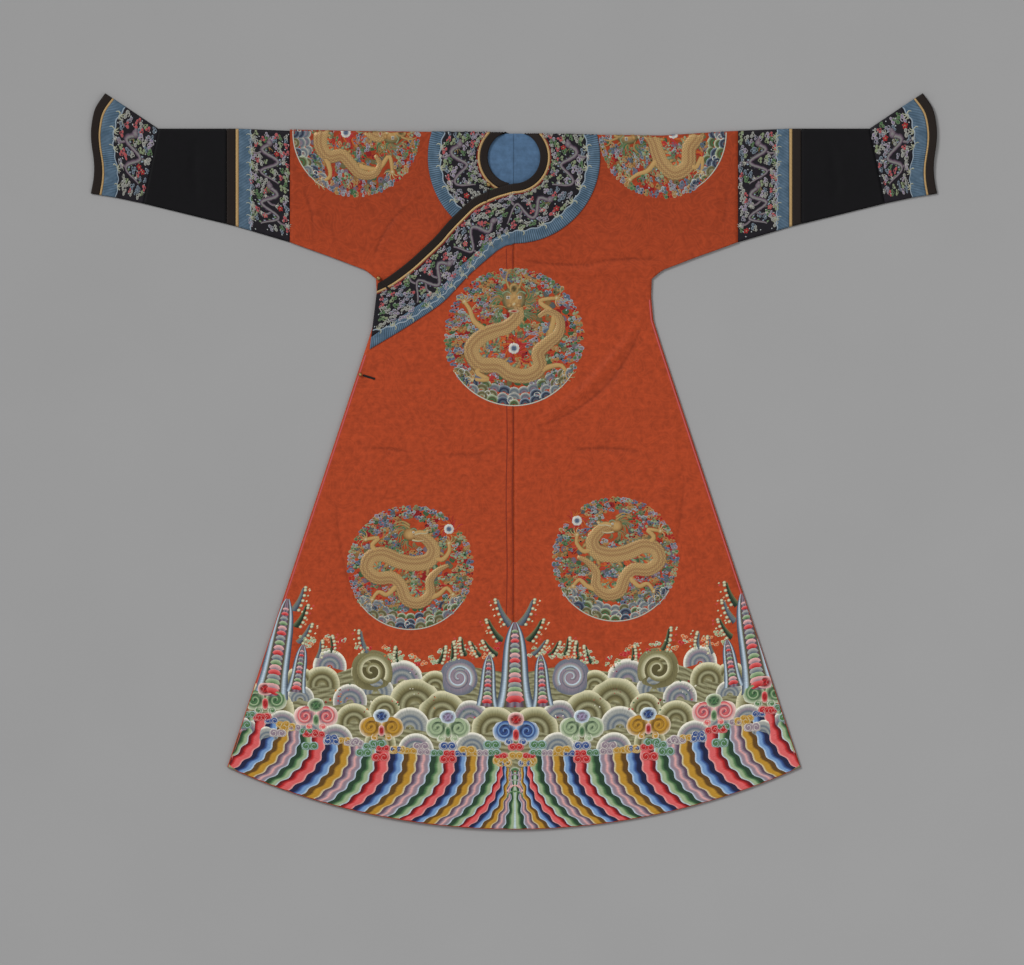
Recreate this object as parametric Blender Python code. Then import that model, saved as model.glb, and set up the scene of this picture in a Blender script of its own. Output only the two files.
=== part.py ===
"""A woman's court dragon robe laid out flat, front up, with its sleeves spread.

Every piece of cloth is drawn as it is cut, on the flat: "across" is measured from the
centre line and "down" from the shoulder fold, negative down being the back.  fold_place()
then folds that drawing at the shoulder and lays it on the ground, so each piece knows how
high it lies from the layers below it.  The wearer's right is at -X, the hem at -Y.
"""

import math

import bmesh
import bpy
from mathutils import Vector

# Driving dimensions, in metres.
LENGTH = 1.419  # shoulder fold to the lowest point of the hem
HEM_RADIUS = 1.40
SLEEVE_SEAM = 0.455  # where the body's own sleeve ends
CUFF_RISE = 0.077  # the cuff's tip above the shoulder fold
CLOTH = 0.0018  # body wall
TRIM = 0.0012  # wall of a piece sewn on top
LINING = 0.0010
SEAM = 0.0003  # gap between pieces at a seam
PLAY = 0.0006  # gap under a piece sewn on top, which spans the cloth's soft curve
SOFTNESS = 0.0020  # how far the front stands off the back, away from the edges
SOFT_EDGE = 0.12  # width over which it rises
SWELL = 0.15  # share by which that rise comes and goes over the front
SWELL_ACROSS = 9.0  # its waves, in radians a metre
SWELL_DOWN = 7.0
COLLAR_REACH = 0.180  # the collar lifts the back this far from the neck's centre
COLLAR_FADE = 0.12  # and the lift fades over this width
OVER_COLLAR_REACH = 0.19  # the same where one collar passes over the other
OVER_EDGE = 0.15  # the left side's layer lies over the right's up to here
OVER_DOWN = 0.015  # below this height, rising over the next 90 mm
OVER_RISE = 0.09
BEND_START = 0.45  # rows bend from straight here to the hem's arc
BEND_RUN = 0.84
NECK_DOWN = 0.053  # neck centre below the shoulder fold
NECK_RADIUS = 0.053
NECK_CUT = 0.061  # the body's cut edge, hidden under the binding
COLLAR_RADIUS = 0.175
FOLD_HALF = 0.0027  # half the strip that the shoulder fold turns over
SHOULDER_Y = (LENGTH - CUFF_RISE) / 2  # puts the origin in the middle of the whole

# Widths of the trims.
NECK_BINDING = 0.016
NECK_BRAID = 0.005
WAVE_BORDER = 0.025
CUFF_BINDING = 0.0175
CUFF_BRAID = 0.004
CUFF_WAVE = 0.029

# The shoulder fold dips a little between neck and sleeve: across, right side, left side.
SHOULDER_DIP = (
    (0.000, 0.003, 0.005),
    (0.300, 0.000, 0.009),
    (0.440, -0.003, 0.000),
    (0.560, -0.005, -0.005),
    (0.730, -0.005, -0.005),
)
# Lower edge of the sleeve, from underarm to cuff: across, down.
SLEEVE_LOWER = (
    (0.279, 0.311),
    (0.285, 0.296),
    (0.300, 0.283),
    (0.365, 0.258),
    (0.457, 0.225),
    (0.566, 0.193),
    (0.719, 0.155),
    (0.753, 0.144),
    (0.859, 0.127),
)
# Side edge, from underarm to hem: down, across.
SIDE = (
    (0.300, 0.2800),
    (0.335, 0.2785),
    (0.384, 0.2830),
    (0.432, 0.2980),
    (0.505, 0.3220),
    (1.300, 0.5850),
)
# Outer edge of the horse-hoof cuff, from lower corner to tip: across, down.
CUFF_EDGE = (
    (0.859, 0.127),
    (0.8535, 0.095),
    (0.853, 0.063),
    (0.8585, 0.020),
    (0.858, -0.012),
    (0.850, -0.047),
    (0.830, -0.077),
)
CUFF_SEAM = ((0.753, 0.147), (0.722, -0.005))
CUFF_INWARD = (Vector((-1.0, 0.16)), Vector((-0.84, 0.55)))  # at the lower corner, at the tip
# The sleeve's straight pieces: name, start, end, stations, extra wall.
SLEEVE_RINGS = (
    ("band", 0.455, 0.534, 4, 0.0),
    ("border", 0.534, 0.559, 2, 0.0),
    ("braid", 0.559, 0.565, 2, 0.0006),
    ("binding", 0.565, 0.583, 2, 0.0004),
)
# The over collar beyond the neck: edge nearest the neck, outer edge (both across, down).
FLAP_STATIONS = (
    (-0.020, 0.111, -0.006, 0.231),
    (-0.045, 0.119, -0.017, 0.233),
    (-0.085, 0.138, -0.034, 0.243),
    (-0.120, 0.170, -0.051, 0.257),
    (-0.140, 0.191, -0.072, 0.275),
    (-0.159, 0.213, -0.093, 0.294),
    (-0.188, 0.241, -0.122, 0.325),
    (-0.217, 0.267, -0.150, 0.352),
    (-0.251, 0.293, -0.215, 0.396),
    (-0.2765, 0.309, -0.293, 0.443),
)
# Rows of the body, from hem to neck: down at the side seam.
BODY_ROWS = (
    1.291, 1.22, 1.14, 1.05, 0.96, 0.87, 0.78, 0.69, 0.60, 0.52, 0.46, 0.40, 0.355, 0.322,
    0.300, 0.286, 0.268, 0.247, 0.225, 0.196, 0.166, 0.138, 0.1138, 0.105, 0.090, 0.072,
    0.053, 0.035, 0.018,
)  # fmt: skip
# Rows of the overlap, from hem to the flap's edge: down at the centre, down at the side.
OVERLAP_TOP = ((0.480, 0.560), (0.400, 0.505), (0.320, 0.450), (0.240, 0.410), (0.165, 0.372))

# Closures: name, button's place, its radius, then the sewn loop's two ends (across, down).
CLOSURES = (
    ("neck", (-0.0515, 0.1085), 0.0045, (-0.052, 0.1175), (-0.058, 0.142)),
    ("underarm", (-0.2750, 0.2985), 0.0045, (-0.2700, 0.3060), (-0.252, 0.322)),
    ("side", (-0.3120, 0.4940), 0.0040, (-0.3060, 0.4955), (-0.282, 0.5030)),
)
LOOP_HALF = 0.0022  # half the width of a loop's doubled cord

COLOURS = {  # name: colour, roughness, metallic
    "silk": ((0.33, 0.055, 0.018), 0.55, 0.0),
    "lining": ((0.085, 0.18, 0.30), 0.6, 0.0),
    "navy": ((0.012, 0.011, 0.022), 0.6, 0.0),
    "wave_blue": ((0.085, 0.18, 0.30), 0.6, 0.0),
    "braid": ((0.42, 0.30, 0.15), 0.45, 0.3),
    "binding": ((0.022, 0.013, 0.010), 0.65, 0.0),
    "black": ((0.010, 0.008, 0.012), 0.6, 0.0),
    "brass": ((0.45, 0.30, 0.10), 0.35, 1.0),
    "cord": ((0.015, 0.010, 0.010), 0.7, 0.0),
}


def clear_scene():
    for thing in list(bpy.data.objects):
        bpy.data.objects.remove(thing)


def material(name):
    """The shared finish of this name, as a Principled surface."""
    found = bpy.data.materials.get(name)
    if found:
        return found
    colour, roughness, metallic = COLOURS[name]
    made = bpy.data.materials.new(name)
    made.use_nodes = True
    shader = made.node_tree.nodes["Principled BSDF"]
    shader.inputs["Base Color"].default_value = (*colour, 1.0)
    shader.inputs["Roughness"].default_value = roughness
    shader.inputs["Metallic"].default_value = metallic
    made.diffuse_color = (*colour, 1.0)
    return made


def ease(value):
    """0 below 0, 1 above 1, smooth between."""
    value = min(max(value, 0.0), 1.0)
    return value * value * (3.0 - 2.0 * value)


def read(table, place, column=1):
    """A table's column at this place, straight between its rows."""
    for low, high in zip(table, table[1:]):
        if place <= high[0]:
            break
    share = min(max((place - low[0]) / (high[0] - low[0]), 0.0), 1.0)
    return low[column] + share * (high[column] - low[column])


def along(points, share):
    """The point at this share of a short run of points, rounded as a Catmull-Rom curve."""
    spot = min(max(share, 0.0), 1.0) * (len(points) - 1)
    index = min(int(spot), len(points) - 2)
    t = spot - index
    a, b, c, d = (
        Vector(points[min(max(index + step, 0), len(points) - 1)]) for step in (-1, 0, 1, 2)
    )
    return 0.5 * (2 * b + (c - a) * t + (2 * a - 5 * b + 4 * c - d) * t**2 + (3 * b - a - 3 * c + d) * t**3)


def dip(across):
    """How far the fold lies below the shoulder datum."""
    return read(SHOULDER_DIP, abs(across), 1 if across < 0 else 2)


def hem(across):
    return LENGTH - HEM_RADIUS + math.sqrt(max(HEM_RADIUS**2 - across**2, 0.0))


def neck_distance(across, down):
    return math.hypot(across, down - NECK_DOWN)


def back_height(across, down):
    """Height of the back's outer face: it rests on the ground, but for the collar under it."""
    reach = neck_distance(across, -abs(down))
    return (TRIM + PLAY) * (1.0 - ease((reach - COLLAR_REACH) / COLLAR_FADE))


def front_height(across, down):
    """Height of the front's outer face, softly raised away from every edge."""
    across = abs(across)
    sleeve = read(SLEEVE_LOWER, across) - down
    body = read(SIDE, down) - across
    inside = ease(min(max(sleeve, body), hem(across) - down) / SOFT_EDGE)
    wave = math.sin(SWELL_ACROSS * across + 1.0) * math.sin(SWELL_DOWN * down)
    swell = 1.0 + SWELL * wave
    return back_height(across, down) + 2 * CLOTH + SEAM + SOFTNESS * inside * swell


def over_lift(across, down):
    """How far the left side's layer stands up where it passes over the right side's."""
    share = ease((OVER_EDGE - across) / OVER_EDGE) * ease((down - OVER_DOWN) / OVER_RISE)
    beyond = neck_distance(across, down) - OVER_COLLAR_REACH
    collar = 1.0 - ease(beyond / COLLAR_FADE)
    return share * (CLOTH + PLAY + (TRIM + PLAY + SEAM) * collar)


def under_lift(across, down):
    return 0.0


def fold_place(across, down, lift, layer):
    """The point of the folded robe for one of the flat cut, moved out by lift.

    Past the fold the front runs down at its own height and the back mirrors it; the fold
    itself is half a turn about an axis midway between the two.
    """
    line = dip(across)
    past = down - line
    top = front_height(across, max(down, line + FOLD_HALF)) + layer(across, down)
    mirrored = 2 * line - min(down, line - FOLD_HALF)
    bottom = back_height(across, mirrored)
    at_fold = front_height(across, line + FOLD_HALF)
    radius = (at_fold - back_height(across, line + FOLD_HALF)) / 2
    if past > FOLD_HALF:
        return Vector((across, SHOULDER_Y - line - radius - past + FOLD_HALF, top + lift))
    if past < -FOLD_HALF:
        return Vector((across, SHOULDER_Y - line - radius + past + FOLD_HALF, bottom - lift))
    turn = past / FOLD_HALF * math.pi / 2
    reach = radius + lift
    middle = at_fold - radius
    return Vector(
        (across, SHOULDER_Y - line - radius + reach * math.cos(turn), middle + reach * math.sin(turn))
    )


def finish(name, vertices, faces, finish_name, parent):
    """One closed solid, faces out, as an object of its own."""
    mesh = bpy.data.meshes.new(name)
    mesh.from_pydata([tuple(v) for v in vertices], [], faces)
    form = bmesh.new()
    form.from_mesh(mesh)
    bmesh.ops.recalc_face_normals(form, faces=form.faces)
    form.to_mesh(mesh)
    form.free()
    mesh.shade_smooth()
    mesh.set_sharp_from_angle(angle=math.radians(40))
    mesh.materials.append(material(finish_name))
    made = bpy.data.objects.new(name, mesh)
    made.parent = parent
    bpy.context.scene.collection.objects.link(made)
    return made


def sheet(name, rows, low, high, finish_name, parent, layer=under_lift):
    """A wall of cloth from rows of flat points, its two faces lifted by low and high.

    The flat cut is creased along the shoulder fold first, by cutting its faces at five lines.
    """
    flat = bmesh.new()
    grid = [[flat.verts.new((u, v - dip(u), 0.0)) for u, v in row] for row in rows]
    for lower, upper in zip(grid, grid[1:]):
        for left in range(len(lower) - 1):
            flat.faces.new((lower[left], lower[left + 1], upper[left + 1], upper[left]))
    for step in (-1.0, -0.5, 0.0, 0.5, 1.0):
        everything = flat.verts[:] + flat.edges[:] + flat.faces[:]
        line = (0.0, step * FOLD_HALF, 0.0)
        bmesh.ops.bisect_plane(flat, geom=everything, dist=1e-5, plane_co=line, plane_no=(0, 1, 0))
    bmesh.ops.triangulate(flat, faces=flat.faces)
    flat.verts.index_update()
    count = len(flat.verts)
    spots = [(v.co.x, v.co.y + dip(v.co.x)) for v in flat.verts]
    vertices = [fold_place(u, v, high, layer) for u, v in spots]
    vertices += [fold_place(u, v, low, layer) for u, v in spots]
    faces = []
    for face in flat.faces:
        corners = [v.index for v in face.verts]
        faces.append(corners)
        faces.append([corner + count for corner in reversed(corners)])
    for edge in flat.edges:
        if edge.is_boundary:
            a, b = edge.link_loops[0].vert.index, edge.link_loops[0].link_loop_next.vert.index
            faces.append((b, a, a + count, b + count))
    flat.free()
    return finish(name, vertices, faces, finish_name, parent)


def ring(name, start, end, stations, extra, side, finish_name, parent):
    """A flattened tube of sleeve between two lines across it, each a function of 0 to 1.

    Its section is a front, a back and a folded point at each edge, then the same inside.
    """
    fronts = (0.0, 0.12, 0.37, 0.63, 0.88, 1.0)
    backs = (1.0, 0.63, 0.30, 0.0)
    vertices = []
    shares = [step / (stations - 1) for step in range(stations)]
    length = (start(0.5) - end(0.5)).length
    trim = SEAM / 2 / length
    for share in shares:
        share = trim + share * (1 - 2 * trim)

        def spot(s):
            return start(s).lerp(end(s), share)

        foot, head = spot(0.0), spot(1.0)
        width = (head - foot).length
        for inset in (0.0, CLOTH):
            edge = (0.0025 + inset * 0.3) / width
            loop = []
            for s in fronts:
                point = spot(edge + s * (1 - 2 * edge))
                height = front_height(point.x, point.y) + extra - inset - (extra if inset else 0.0)
                loop.append((point, height))
            loop.append((spot(1.0 - inset / width), front_height(head.x, head.y) / 2))
            for s in backs:
                point = spot(edge + s * (1 - 2 * edge))
                loop.append((point, back_height(point.x, point.y) + inset))
            loop.append((spot(inset / width), front_height(foot.x, foot.y) / 2))
            vertices += [Vector((side * p.x, SHOULDER_Y - p.y, z)) for p, z in loop]
    turn = len(fronts) + len(backs) + 2
    faces = []
    for step in range(len(shares) - 1):
        for inner in (0, 1):
            here = (2 * step + inner) * turn
            there = here + 2 * turn
            for k in range(turn):
                after = (k + 1) % turn
                quad = (here + k, here + after, there + after, there + k)
                faces.append(quad if inner == 0 else quad[::-1])
    for last in (0, 2 * (len(shares) - 1) * turn):
        for k in range(turn):
            after = (k + 1) % turn
            faces.append((last + k, last + after, last + turn + after, last + turn + k))
    return finish(name, vertices, faces, finish_name, parent)


def body_row(down_at_side, inner, side):
    """One row of a body half, from its inner edge to its outer, following the hem's curve."""
    outer = read(SIDE, down_at_side)
    if down_at_side < 0.300:
        outer = read(tuple((v, u) for u, v in reversed(SLEEVE_LOWER)), down_at_side)
        outer = min(outer, SLEEVE_SEAM - SEAM / 2)
    bend = ease((down_at_side - BEND_START) / BEND_RUN)
    row = []
    for share in (0.0, 0.12, 0.26, 0.40, 0.55, 0.70, 0.85, 1.0):
        across = inner + share * (outer - inner)
        sag = hem(across) - hem(outer)
        row.append((side * across, down_at_side + bend * sag))
    return row


def neck_edge(down, least):
    """Half the width of the neck hole at this height, no less than the seam's."""
    inside = NECK_CUT**2 - (down - NECK_DOWN) ** 2
    return max(math.sqrt(max(inside, 0.0)), least)


def body_half(name, side, front_edge, parent):
    """Front and back in one length, folded at the shoulder, with the neck cut out."""
    rows = []
    for down in BODY_ROWS:
        rows.append(body_row(down, neck_edge(down, front_edge), side))
    for down in reversed((0.018, *BODY_ROWS[:-1], 0.0)):
        signed = -down
        row = body_row(down, neck_edge(signed, SEAM / 2), side)
        rows.append([(u, 2 * dip(u) - v) for u, v in row])
    rows = tidy_rows(rows)
    return sheet(name, rows, -CLOTH, 0.0, "silk", parent, over_lift if side > 0 else under_lift)


def tidy_rows(rows):
    """The same rows in order from the front's hem to the back's, with none repeated."""
    ordered = sorted(rows, key=lambda row: -row[0][1])
    kept = [ordered[0]]
    for row in ordered[1:]:
        if kept[-1][0][1] - row[0][1] > 1e-4:
            kept.append(row)
    return kept


def overlap(parent):
    """The left side's extra front, from the centre seam across to the right side seam."""
    rows = [body_row(down, SEAM / 2, -1) for down in BODY_ROWS[:9]]
    for centre, side in OVERLAP_TOP:
        foot = Vector((-SEAM / 2, centre))
        end = Vector((-read(SIDE, side), side))
        shares = (0.0, 0.12, 0.26, 0.40, 0.55, 0.70, 0.85, 1.0)
        bow = ease((side - BEND_START) / BEND_RUN)
        rows.append([foot.lerp(end, s) + Vector((0.0, bow * 0.02 * s * (1 - s))) for s in shares])
    return sheet("front_overlap", [[tuple(p) for p in row] for row in rows], -CLOTH, 0.0, "silk",
                 parent, over_lift)  # fmt: skip


def ring_station(angle, side):
    """Neck edge and outer edge of the collar at this angle from straight down."""
    heading = Vector((side * math.sin(angle), math.cos(angle)))
    centre = Vector((0.0, NECK_DOWN))
    return centre + heading * NECK_RADIUS, centre + heading * COLLAR_RADIUS


def collar(label, stations, layer, parent):
    """Binding, braid, embroidered band and wave border, side by side along one strip."""
    layout = (
        ("binding", 0.0, NECK_BINDING, 1, "binding"),
        ("braid", NECK_BINDING, NECK_BINDING + NECK_BRAID, 1, "braid"),
        ("band", NECK_BINDING + NECK_BRAID, -WAVE_BORDER, 3, "navy"),
        ("border", -WAVE_BORDER, 0.0, 1, "wave_blue"),
    )
    for piece, near, far, cells, finish_name in layout:
        rows = []
        for inner, outer in stations:
            width = (outer - inner).length
            start = (near if near >= 0 else width + near) + SEAM / 2
            stop = (far if far > 0 else width + far) - SEAM / 2
            row = []
            for cell in range(cells + 1):
                share = (start + cell / cells * (stop - start)) / width
                row.append(tuple(inner.lerp(outer, share)))
            rows.append(row)
        name = f"collar_{label}_{piece}"
        sheet(name, rows, PLAY, PLAY + TRIM, finish_name, parent, layer)


def collars(parent):
    half_seam = SEAM / 2 / NECK_RADIUS
    turns = [math.radians(180 - 11.25 * step) for step in range(16)]
    turns[0] -= half_seam
    over = [ring_station(turn, 1) for turn in turns] + [ring_station(0.0, 1)]
    for inner_u, inner_v, outer_u, outer_v in FLAP_STATIONS:
        over.append((Vector((inner_u, inner_v)), Vector((outer_u, outer_v))))
    collar("over", over, over_lift, parent)
    under = [ring_station(turn, -1) for turn in turns]
    collar("under", under, under_lift, parent)


def lining(side, parent):
    """What shows of the lining inside the neck: the back's, with its centre seam."""
    label = "left" if side > 0 else "right"
    rows = []
    for down in (0.130, 0.105, 0.080, 0.053, 0.030, 0.014):
        half = 0.076 * math.sqrt(max(1 - ((down - NECK_DOWN) / 0.085) ** 2, 0.04))
        low = SEAM / 2
        rows.append([(side * (low + share * (half - low)), down) for share in (0.0, 0.5, 1.0)])

    vertices = []
    for lift in (LINING, 0.0):
        for row in rows:
            for u, v in row:
                height = back_height(u, v) + CLOTH + SEAM + lift
                vertices.append(Vector((u, SHOULDER_Y - v, height)))
    across, deep = len(rows[0]), len(rows)
    count = across * deep
    faces = []
    for i in range(deep - 1):
        for j in range(across - 1):
            a = i * across + j
            quad = (a, a + 1, a + across + 1, a + across)
            faces.append(quad)
            faces.append(tuple(k + count for k in reversed(quad)))
    rim = list(range(across))
    rim += [i * across + across - 1 for i in range(1, deep)]
    rim += [(deep - 1) * across + j for j in range(across - 2, -1, -1)]
    rim += [i * across for i in range(deep - 2, 0, -1)]
    for a, b in zip(rim, rim[1:] + rim[:1]):
        faces.append((a, b, b + count, a + count))
    finish(f"lining_{label}", vertices, faces, "lining", parent)


def closure(name, spot, radius, start, end, parent):
    """A ball button beside the flap's edge, and the flat loop that holds it."""
    layer_top = PLAY if name == "side" else 2 * PLAY + TRIM
    run = Vector(end) - Vector(start)
    edge = Vector((-run.y, run.x)).normalized() * LOOP_HALF
    rows = []
    for share in (0.0, 0.5, 1.0):
        middle = Vector(start) + run * share
        rows.append([tuple(middle + edge), tuple(middle - edge)])
    sheet(f"{name}_loop", rows, layer_top, layer_top + TRIM, "cord", parent, over_lift)
    on_flap = over_lift if name == "side" else under_lift
    rest = layer_top if name == "neck" else PLAY
    form = bmesh.new()
    bmesh.ops.create_uvsphere(form, u_segments=12, v_segments=8, radius=radius)
    mesh = bpy.data.meshes.new(f"{name}_button")
    form.to_mesh(mesh)
    form.free()
    mesh.shade_smooth()
    mesh.materials.append(material("brass"))
    button = bpy.data.objects.new(f"{name}_button", mesh)
    button.location = fold_place(*spot, rest + radius, on_flap)
    button.parent = parent
    bpy.context.scene.collection.objects.link(button)


def lower_point(across):
    return Vector((across, read(SLEEVE_LOWER, across)))


def straight(across):
    """The line across the sleeve at this distance from the centre."""
    low, high = lower_point(across), Vector((across, read(SHOULDER_DIP, across, 2)))
    return lambda s: low.lerp(high, s)


def cuff_line(inward):
    """The cuff's outer edge moved towards the arm."""
    return lambda s: along(CUFF_EDGE, s) + inward * CUFF_INWARD[0].lerp(CUFF_INWARD[1], s)


def sleeve(side, parent):
    label = "left" if side > 0 else "right"
    finishes = {"band": "navy", "border": "wave_blue", "braid": "braid", "binding": "binding"}
    for piece, start, end, stations, extra in SLEEVE_RINGS:
        name = f"{label}_sleeve_{piece}"
        ring(name, straight(start), straight(end), stations, extra, side, finishes[piece], parent)
    seam_low, seam_high = Vector(CUFF_SEAM[0]), Vector(CUFF_SEAM[1])

    def seam(s):
        return seam_low.lerp(seam_high, s)

    ring(f"{label}_sleeve_extension", straight(SLEEVE_RINGS[-1][2]), seam, 5, 0.0, side, "black", parent)
    edges = (0.0, CUFF_BINDING, CUFF_BINDING + CUFF_BRAID, CUFF_BINDING + CUFF_BRAID + CUFF_WAVE)
    ring(f"{label}_cuff_band", seam, cuff_line(edges[3]), 4, 0.0, side, "navy", parent)
    ring(f"{label}_cuff_border", cuff_line(edges[3]), cuff_line(edges[2]), 2, 0.0, side, "wave_blue", parent)
    ring(f"{label}_cuff_braid", cuff_line(edges[2]), cuff_line(edges[1]), 2, 0.0006, side, "braid", parent)
    ring(f"{label}_cuff_binding", cuff_line(edges[1]), cuff_line(edges[0]), 2, 0.0004, side, "binding", parent)


def main():
    clear_scene()
    robe = bpy.data.objects.new("robe", None)
    bpy.context.scene.collection.objects.link(robe)
    body_half("left_body", 1, SEAM / 2, robe)
    body_half("right_body", -1, 0.010, robe)
    overlap(robe)
    for side in (-1, 1):
        lining(side, robe)
        sleeve(side, robe)
    collars(robe)
    for row in CLOSURES:
        closure(*row, robe)


main()
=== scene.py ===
"""Looks of a woman's court dragon robe laid out flat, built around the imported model.

Cloth is worked out on the flat cut, as (u, v): u across from the centre line and v down from
the shoulder fold, negative v being the back.  lay() folds that cut at the shoulder and lays
it on the ground, so a shell, a trim and the stitching on it all follow one form.
"""

import functools
import math

import bpy  # noqa: E402
import mathutils  # noqa: E402
import numpy as np  # noqa: E402
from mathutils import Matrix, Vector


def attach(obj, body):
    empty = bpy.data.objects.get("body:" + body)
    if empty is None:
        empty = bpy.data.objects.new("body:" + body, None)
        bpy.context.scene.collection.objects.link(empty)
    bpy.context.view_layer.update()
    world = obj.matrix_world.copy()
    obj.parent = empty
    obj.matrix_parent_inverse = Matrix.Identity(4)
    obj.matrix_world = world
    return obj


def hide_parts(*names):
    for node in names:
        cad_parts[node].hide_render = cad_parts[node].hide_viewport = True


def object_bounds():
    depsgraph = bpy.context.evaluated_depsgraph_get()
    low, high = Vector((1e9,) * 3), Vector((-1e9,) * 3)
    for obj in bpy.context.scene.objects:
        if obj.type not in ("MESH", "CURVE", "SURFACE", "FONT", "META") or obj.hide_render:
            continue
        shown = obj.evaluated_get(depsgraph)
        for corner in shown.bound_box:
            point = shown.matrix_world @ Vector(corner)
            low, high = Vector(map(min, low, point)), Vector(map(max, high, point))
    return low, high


bl_info = {
    "name": "Dragon Robe Builder",
    "version": (1, 0, 0),
    "blender": (4, 5, 0),
    "location": "View3D > Sidebar > Robe",
    "description": "Builds the cloth, trims and embroidery of a court robe laid out flat",
    "category": "Object",
}

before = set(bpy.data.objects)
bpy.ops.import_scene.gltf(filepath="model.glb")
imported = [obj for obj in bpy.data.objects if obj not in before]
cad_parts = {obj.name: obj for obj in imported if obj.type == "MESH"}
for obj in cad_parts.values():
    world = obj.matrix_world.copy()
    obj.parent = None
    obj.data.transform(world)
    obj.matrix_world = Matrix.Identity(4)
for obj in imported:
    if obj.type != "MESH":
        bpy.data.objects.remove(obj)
CAD_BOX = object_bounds()

# ---- the cut, in metres
LENGTH = 1.419  # shoulder fold to the lowest point of the hem
HEM_RADIUS = 1.40
SLEEVE_SEAM = 0.455
CUFF_RISE = 0.077  # cuff tip above the shoulder fold
CLOTH = 0.0018
TRIM = 0.0012
PLAY = 0.0006
LINING_WALL = 0.0010
SEAM = 0.0003
SOFTNESS = 0.0020
SOFT_EDGE = 0.12
NECK_DOWN = 0.053
NECK_RADIUS = 0.053
NECK_CUT = 0.061
COLLAR_RADIUS = 0.175
FOLD = 0.0027  # the turn at the shoulder fold and along a sleeve's lower edge
GROUND_PLAY = 0.0007  # the back stands this far up, on its own stitching
NECK_BINDING = 0.016
NECK_BRAID = 0.005
WAVE_BORDER = 0.025
CUFF_BINDING = 0.0175
CUFF_BRAID = 0.004
CUFF_WAVE = 0.029
SHOULDER_Y = CAD_BOX[1].y - CUFF_RISE

# Shoulder fold: across, its dip on the right side, on the left side.
SHOULDER_DIP = np.array([
    (0.000, 0.003, 0.005), (0.300, 0.000, 0.009), (0.440, -0.003, 0.000),
    (0.560, -0.005, -0.005), (0.722, -0.005, -0.005), (0.830, -0.077, -0.077),
])  # fmt: skip
# Sleeve's lower edge: across, down.
SLEEVE_LOWER = np.array([
    (0.279, 0.311), (0.285, 0.296), (0.300, 0.283), (0.365, 0.258), (0.457, 0.225),
    (0.566, 0.193), (0.719, 0.155), (0.753, 0.144), (0.859, 0.127),
])  # fmt: skip
# Side edge: down, across.
SIDE = np.array([
    (0.300, 0.2800), (0.335, 0.2785), (0.384, 0.2830), (0.432, 0.2980), (0.505, 0.3220),
    (1.300, 0.5850),
])  # fmt: skip
# Cuff's outer edge, from its lower corner to its tip: across, down.
CUFF_EDGE = np.array([
    (0.859, 0.127), (0.8535, 0.095), (0.853, 0.063), (0.8585, 0.020), (0.858, -0.012),
    (0.850, -0.047), (0.830, -0.077),
])  # fmt: skip
CUFF_SEAM = np.array([(0.753, 0.147), (0.722, -0.005)])
CUFF_INWARD = np.array([(-1.0, 0.16), (-0.84, 0.55)])
# The over collar beyond the neck: neck edge, outer edge (both across, down).
FLAP = np.array([
    (-0.020, 0.111, -0.006, 0.231), (-0.045, 0.119, -0.017, 0.233),
    (-0.085, 0.138, -0.034, 0.243), (-0.120, 0.170, -0.051, 0.257),
    (-0.140, 0.191, -0.072, 0.275), (-0.159, 0.213, -0.093, 0.294),
    (-0.188, 0.241, -0.122, 0.325), (-0.217, 0.267, -0.150, 0.352),
    (-0.251, 0.293, -0.215, 0.396), (-0.2765, 0.309, -0.293, 0.443),
])  # fmt: skip

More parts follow.
